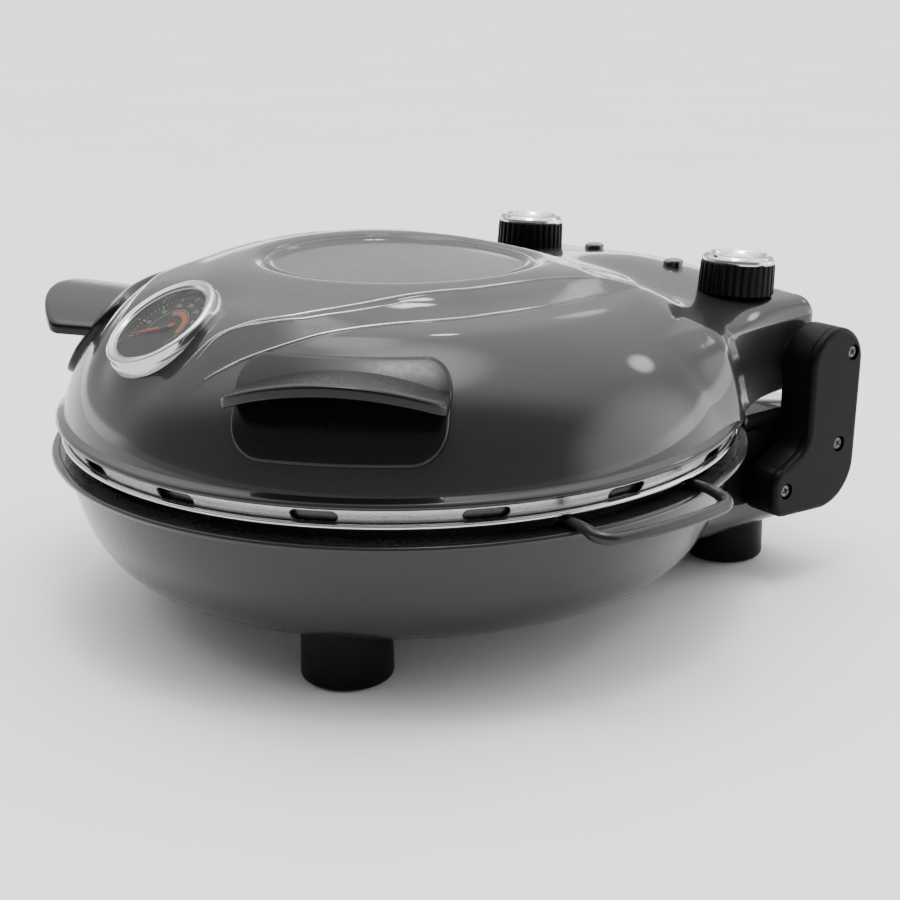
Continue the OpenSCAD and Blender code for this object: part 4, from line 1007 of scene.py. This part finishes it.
def make_knob(side, name):
    def place(points):
        return tilted(points, -KNOB_LEAN, side * KNOB_X, KNOB_Y, KNOB_SEAT_Z)

    count = KNOB_RIBS * 14
    turn = np.linspace(0, 2 * np.pi, count, endpoint=False)
    groove = (0.5 - 0.5 * np.cos(KNOB_RIBS * turn)) ** 2.2
    stages = [  # radius, height and share of the ribs' depth
        (16.4, 2.5, 0), (16.6, 0.8, 0), (17.2, 0.6, 0), (18.9, 0.62, 0.3), (19.35, 0.9, 0.8), (19.5, 1.6, 1),
        (19.1, 15.0, 1), (18.95, 15.9, 0.7), (18.6, 16.3, 0.2), (17.0, 16.4, 0), (6, 16.4, 0),
    ]
    points = []
    for r, z, share in stages:
        ring = r - RIB_DEPTH * share * groove
        points.append(np.column_stack([ring * np.cos(turn), ring * np.sin(turn), np.full(count, z)]))
    points, faces = place(np.concatenate(points)), grid_faces(len(stages), count, True)
    skirt = add_mesh(name + "_knob_skirt", points, faces, "moulded", name + "_knob", 40, TOUCHING)
    show(skirt, name + "_knob")

    h = KNOB_SKIRT_H
    profile = rounded([
        (14, h, 0), (18.6, h + 0.02, 0.1), (18.9, h + 0.9, 0.5), (18.6, h + 2.2, 0.8), (17.2, h + 3.9, 1.6),
        (14.9, h + 4.2, 0.6), (14.1, h + 3.6, 0.5), (12.9, h + 2.2, 0.9), (0, h + 3.0, 0),
    ])
    cap = revolve(name + "_cap_face", profile, "chrome", name + "_knob", sharp=45, place=place)
    show(cap, name + "_cap")
    # a raised index bar across the cap's rim
    bar = []
    for z, grow in ((h + 3.2, 0), (h + 4.5, 0), (h + 4.75, -0.25)):
        a, b, w = 15.2 - grow, 18.1 + grow, 0.75 + grow
        bar.append(place([(-w, -a, z), (-w, -b, z), (w, -b, z), (w, -a, z)]))
    show(loft(name + "_cap_index", bar, "chrome", name + "_knob", 30))


# ---- thermometer

DIAL_Z, MARK_THICK, NUMBERS_R, NUMBER_H = -5.2, 0.05, 16.0, 2.9
SCALE_START, SCALE_SWEEP, SCALE_STEPS, SCALE_UNIT, TICKS_PER_STEP = 210, 240, 8, 50, 5


def at_gauge(points):
    return tilted(points, GAUGE_TILT, 0, GAUGE_Y, GAUGE_Z)


def make_bezel():
    profile = rounded([
        (26.0, -11.5, 0), (28.9, -11.5, 0.2), (28.95, -5.2, 0.6), (28.2, -4.0, 0.8), (28.1, -0.6, 0.9),
        (26.6, 0.1, 0.8), (24.4, -0.6, 0.7), (23.6, -1.4, 0.4), (23.1, -1.5, 0.2), (22.9, -5.4, 0),
    ])
    ring = revolve("bezel_ring", profile, "chrome", "lid", steps=240, sharp=40, place=at_gauge)
    show(ring, "gauge_bezel")


def add_mark(name, look, inner, outer, start, end, steps):
    """A printed band on the dial, between two radii and two angles."""
    angles = np.radians(np.linspace(start, end, steps + 1))
    outline = arc(0, 0, outer, angles) + arc(0, 0, inner, angles[::-1])
    rings = [at_gauge([(x, y, z) for x, y in outline]) for z in (DIAL_Z, DIAL_Z + MARK_THICK)]
    show(loft(name, rings, look, "lid", 30))


def add_number(text, x, y):
    curve = bpy.data.curves.new("dial_number_" + text, "FONT")
    curve.body = text
    curve.size = NUMBER_H * MM
    curve.extrude = 0.03 * MM
    curve.align_x, curve.align_y = "CENTER", "CENTER"
    curve.materials.append(LOOKS["ink"])
    number = add_object("dial_number_" + text, curve)
    place = m(*at_gauge([(x, y, DIAL_Z + 0.03)])[0])
    number.matrix_world = Matrix.Translation(place) @ Matrix.Rotation(GAUGE_TILT, 4, "X")
    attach(number, "lid")
    show(number)


def make_scale():
    ticks = SCALE_STEPS * TICKS_PER_STEP
    for i in range(ticks + 1):
        angle = SCALE_START - SCALE_SWEEP * i / ticks
        inner, half = (20.2, 0.45) if i % TICKS_PER_STEP else (18.9, 0.9)
        add_mark(f"dial_tick_{i}", "ink", inner, 21.6, angle - half, angle + half, 1)
    add_mark("dial_hot_zone", "orange", 8.9, 11.6, 125, 0, 44)
    add_mark("dial_inner_ring", "ink", 12.2, 12.5, 218, -38, 90)
    for i in range(SCALE_STEPS + 1):
        angle = radians(SCALE_START - SCALE_SWEEP * i / SCALE_STEPS)
        add_number(str(i * SCALE_UNIT), NUMBERS_R * cos(angle), NUMBERS_R * sin(angle))


def make_needle():
    outline = turned_by([
        (-6, -1.2), (-6.4, 0), (-6, 1.2), (0, 1.0), (12, 0.65), (18, 0.15), (18, -0.15), (12, -0.65),
        (0, -1.0),
    ], radians(SCALE_START))
    rings = [at_gauge([(x, y, z) for x, y in outline]) for z in (-4.4, -3.9)]
    show(loft("needle_pointer", rings, "needle", "gauge_needle", 30), "gauge_needle")
    profile = [(0, -4.9), (2.6, -4.9), (2.6, -3.9), (2.2, -3.5), (0, -3.4)]
    hub = revolve("needle_hub", profile, "blackened", "gauge_needle", steps=48, place=at_gauge)
    show(hub, "gauge_needle")


# ---- tray handles and feet

TRAY_LEG_Y, TRAY_MIDDLE_Y, TRAY_BAR_R, TRAY_BAR_Z, TRAY_BEND_R = 38.0, 5.5, 190.6, 82.4, 8.0
FOOT_X, FOOT_FRONT_Y, FOOT_REAR_Y = 82, -90, 156


def make_tray_handle(side, name):
    """A bent wire: it rises out of the tray, crosses the rim and droops a little to the bar."""
    turn_at = TRAY_LEG_Y - TRAY_BEND_R
    out_x = sqrt(TRAY_BAR_R**2 - turn_at**2)
    bend_x = out_x - TRAY_BEND_R
    leg = [  # x, height and radius of the wire
        (158.2, 74.6, 2.3), (158.2, 79.6, 2.3), (158.9, 82.2, 2.3), (160.7, 84.1, 2.3), (163.4, 84.9, 2.3),
        (168, 85.1, 2.3), (173, 85.0, 2.4), (178, 84.4, 2.65), (bend_x, 83.7, 2.8),
    ]
    right = [(x, TRAY_LEG_Y, z) for x, z, _ in leg]
    for i, a in enumerate(np.radians(np.linspace(10, 80, 8))):
        onward, outward = TRAY_BEND_R * cos(a), TRAY_BEND_R * sin(a)
        right.append((bend_x + outward, turn_at + onward, 83.6 - 0.15 * i))
    start = atan2(turn_at, out_x) - 0.004
    right += [(x, y, TRAY_BAR_Z) for x, y in arc(0, 0, TRAY_BAR_R, np.linspace(start, 0, 14))]
    radii = [r for *_, r in leg] + [2.85] * (len(right) - len(leg))
    line = right + [(x, -y, z) for x, y, z in reversed(right[:-1])]
    line = [(side * x, y + TRAY_MIDDLE_Y, z) for x, y, z in line]
    show(tube(name + "_wire", line, radii + radii[-2::-1], "wire", "base", 24), name)


def make_foot(x, y, name):
    profile = rounded([
        (16.9, 3.0, 0), (17.2, 0.9, 0.4), (18.5, 0.6, 0.8), (21.3, 0.7, 2.2), (20.6, 28, 0), (20.6, 31, 0),
    ])
    profile = [(0, 3.0)] + profile + [(0, 31.0)]

    def place(points):
        return points + np.array([x, y, 0])

    foot = revolve(name + "_cup", profile, "moulded", "base", steps=96, sharp=35, place=place)
    show(foot, name)


# ---- studio

FLOOR_REACH = 60.0
BACK_LIGHT_FROM = (-0.766, 0.643, 0.45)  # the side from which the studio is bright
HORIZON_LIGHT, TOP_LIGHT, FRONT_LIGHT = 0.95, 2.9, 0.34
BACKDROP_LIGHT = 2.5  # a bright strip just above the horizon behind the cooker
# soft boxes: azimuth, elevation, half width of the core and of the edge, radiance
SOFT_BOXES = [
    (-135, 56, 1.2, 2.2, 26.0), (-146, 33, 1.5, 5.0, 3.0), (-106, 66, 2.0, 10.0, 4.0),
    (172, 33, 1.0, 5.5, 10.0), (140, 6, 8.0, 34.0, 3.0), (0, 90, 4.0, 22.0, 5.0),
]
OVERHEAD_AT, OVERHEAD_TO = Vector((0.15, -0.1, 1.6)), Vector((0, 0, 0.1))
OVERHEAD_SIZE, OVERHEAD_WATTS = 0.35, 6


def make_floor():
    mesh = bpy.data.meshes.new("floor")
    corners = [(x * FLOOR_REACH, y * FLOOR_REACH, 0) for x, y in ((-1, -1), (1, -1), (1, 1), (-1, 1))]
    mesh.from_pydata(corners, [], [(0, 1, 2, 3)])
    mesh.materials.append(LOOKS["floor"])
    add_object("floor", mesh)


def aim_at(azimuth, elevation):
    """A direction: azimuth from the cooker's front towards its right, elevation above the table."""
    az, el = radians(azimuth), radians(elevation)
    return (cos(el) * sin(az), -cos(el) * cos(az), sin(el))


def make_world():
    """A studio that is bright above and behind the cooker and dim towards the camera."""
    world = bpy.data.worlds.new("studio")
    bpy.context.scene.world = world
    world.use_nodes = True
    tree = world.node_tree
    where = add_node(tree, "TexCoord", {}).outputs["Generated"]
    height = add_node(tree, "SeparateXYZ", {0: where}).outputs["Z"]

    def eased(*value_and_ranges):
        return mapped(tree, *value_and_ranges, curve="SMOOTHSTEP")

    def towards(direction):
        return vector_math(tree, "DOT_PRODUCT", "Value", {0: where, 1: direction})

    def joined(operation, a, b):
        return add_node(tree, "Math", {0: a, 1: b}, operation=operation).outputs[0]

    back = towards(BACK_LIGHT_FROM)
    total = add_node(tree, "Mix", {
        "Factor": eased(back, -0.12, 0.34, 0.0, 1.0), "A": FRONT_LIGHT,
        "B": eased(height, 0.25, 0.9, HORIZON_LIGHT, TOP_LIGHT),
    }).outputs["Result"]
    total = joined("MAXIMUM", total, eased(height, 0.05, 0.09, HORIZON_LIGHT, 0.0))
    for azimuth, elevation, core, edge, light in SOFT_BOXES:
        near, far = cos(radians(core)), cos(radians(edge))
        total = joined("ADD", total, eased(towards(aim_at(azimuth, elevation)), far, near, 0.0, light))
    near_horizon = eased(height, 0.07, 0.13, 1.0, 0.0)
    backdrop = joined("MULTIPLY", eased(back, 0.0, 0.4, 0.0, BACKDROP_LIGHT), near_horizon)
    background = tree.nodes["Background"].inputs
    background["Color"].default_value = (1, 1, 1, 1)
    tree.links.new(joined("ADD", total, backdrop), background["Strength"])


def make_overhead():
    light = add_object("overhead", bpy.data.lights.new("overhead", "AREA"))
    light.data.shape = "RECTANGLE"
    light.data.size = light.data.size_y = OVERHEAD_SIZE
    light.data.energy = OVERHEAD_WATTS
    light.location = OVERHEAD_AT
    light.rotation_euler = (OVERHEAD_TO - OVERHEAD_AT).to_track_quat("-Z", "Y").to_euler()


# ---- assembly

make_camera()
dress_nodes()
make_lid_skin()
make_strip_beads()
make_base_skin()
make_vent_band()
make_reflector()
for side, word in SIDES:
    make_lid_handle(side, "lid_handle_" + word)
    make_tower(side, word)
    make_tray_handle(side, "tray_handle_" + word)
    make_foot(side * FOOT_X, FOOT_FRONT_Y, "foot_front_" + word)
    make_foot(side * FOOT_X, FOOT_REAR_Y, "foot_rear_" + word)
make_knob(1, "thermostat")
make_knob(-1, "timer")
make_bezel()
make_scale()
make_needle()
make_floor()
make_world()
make_overhead()
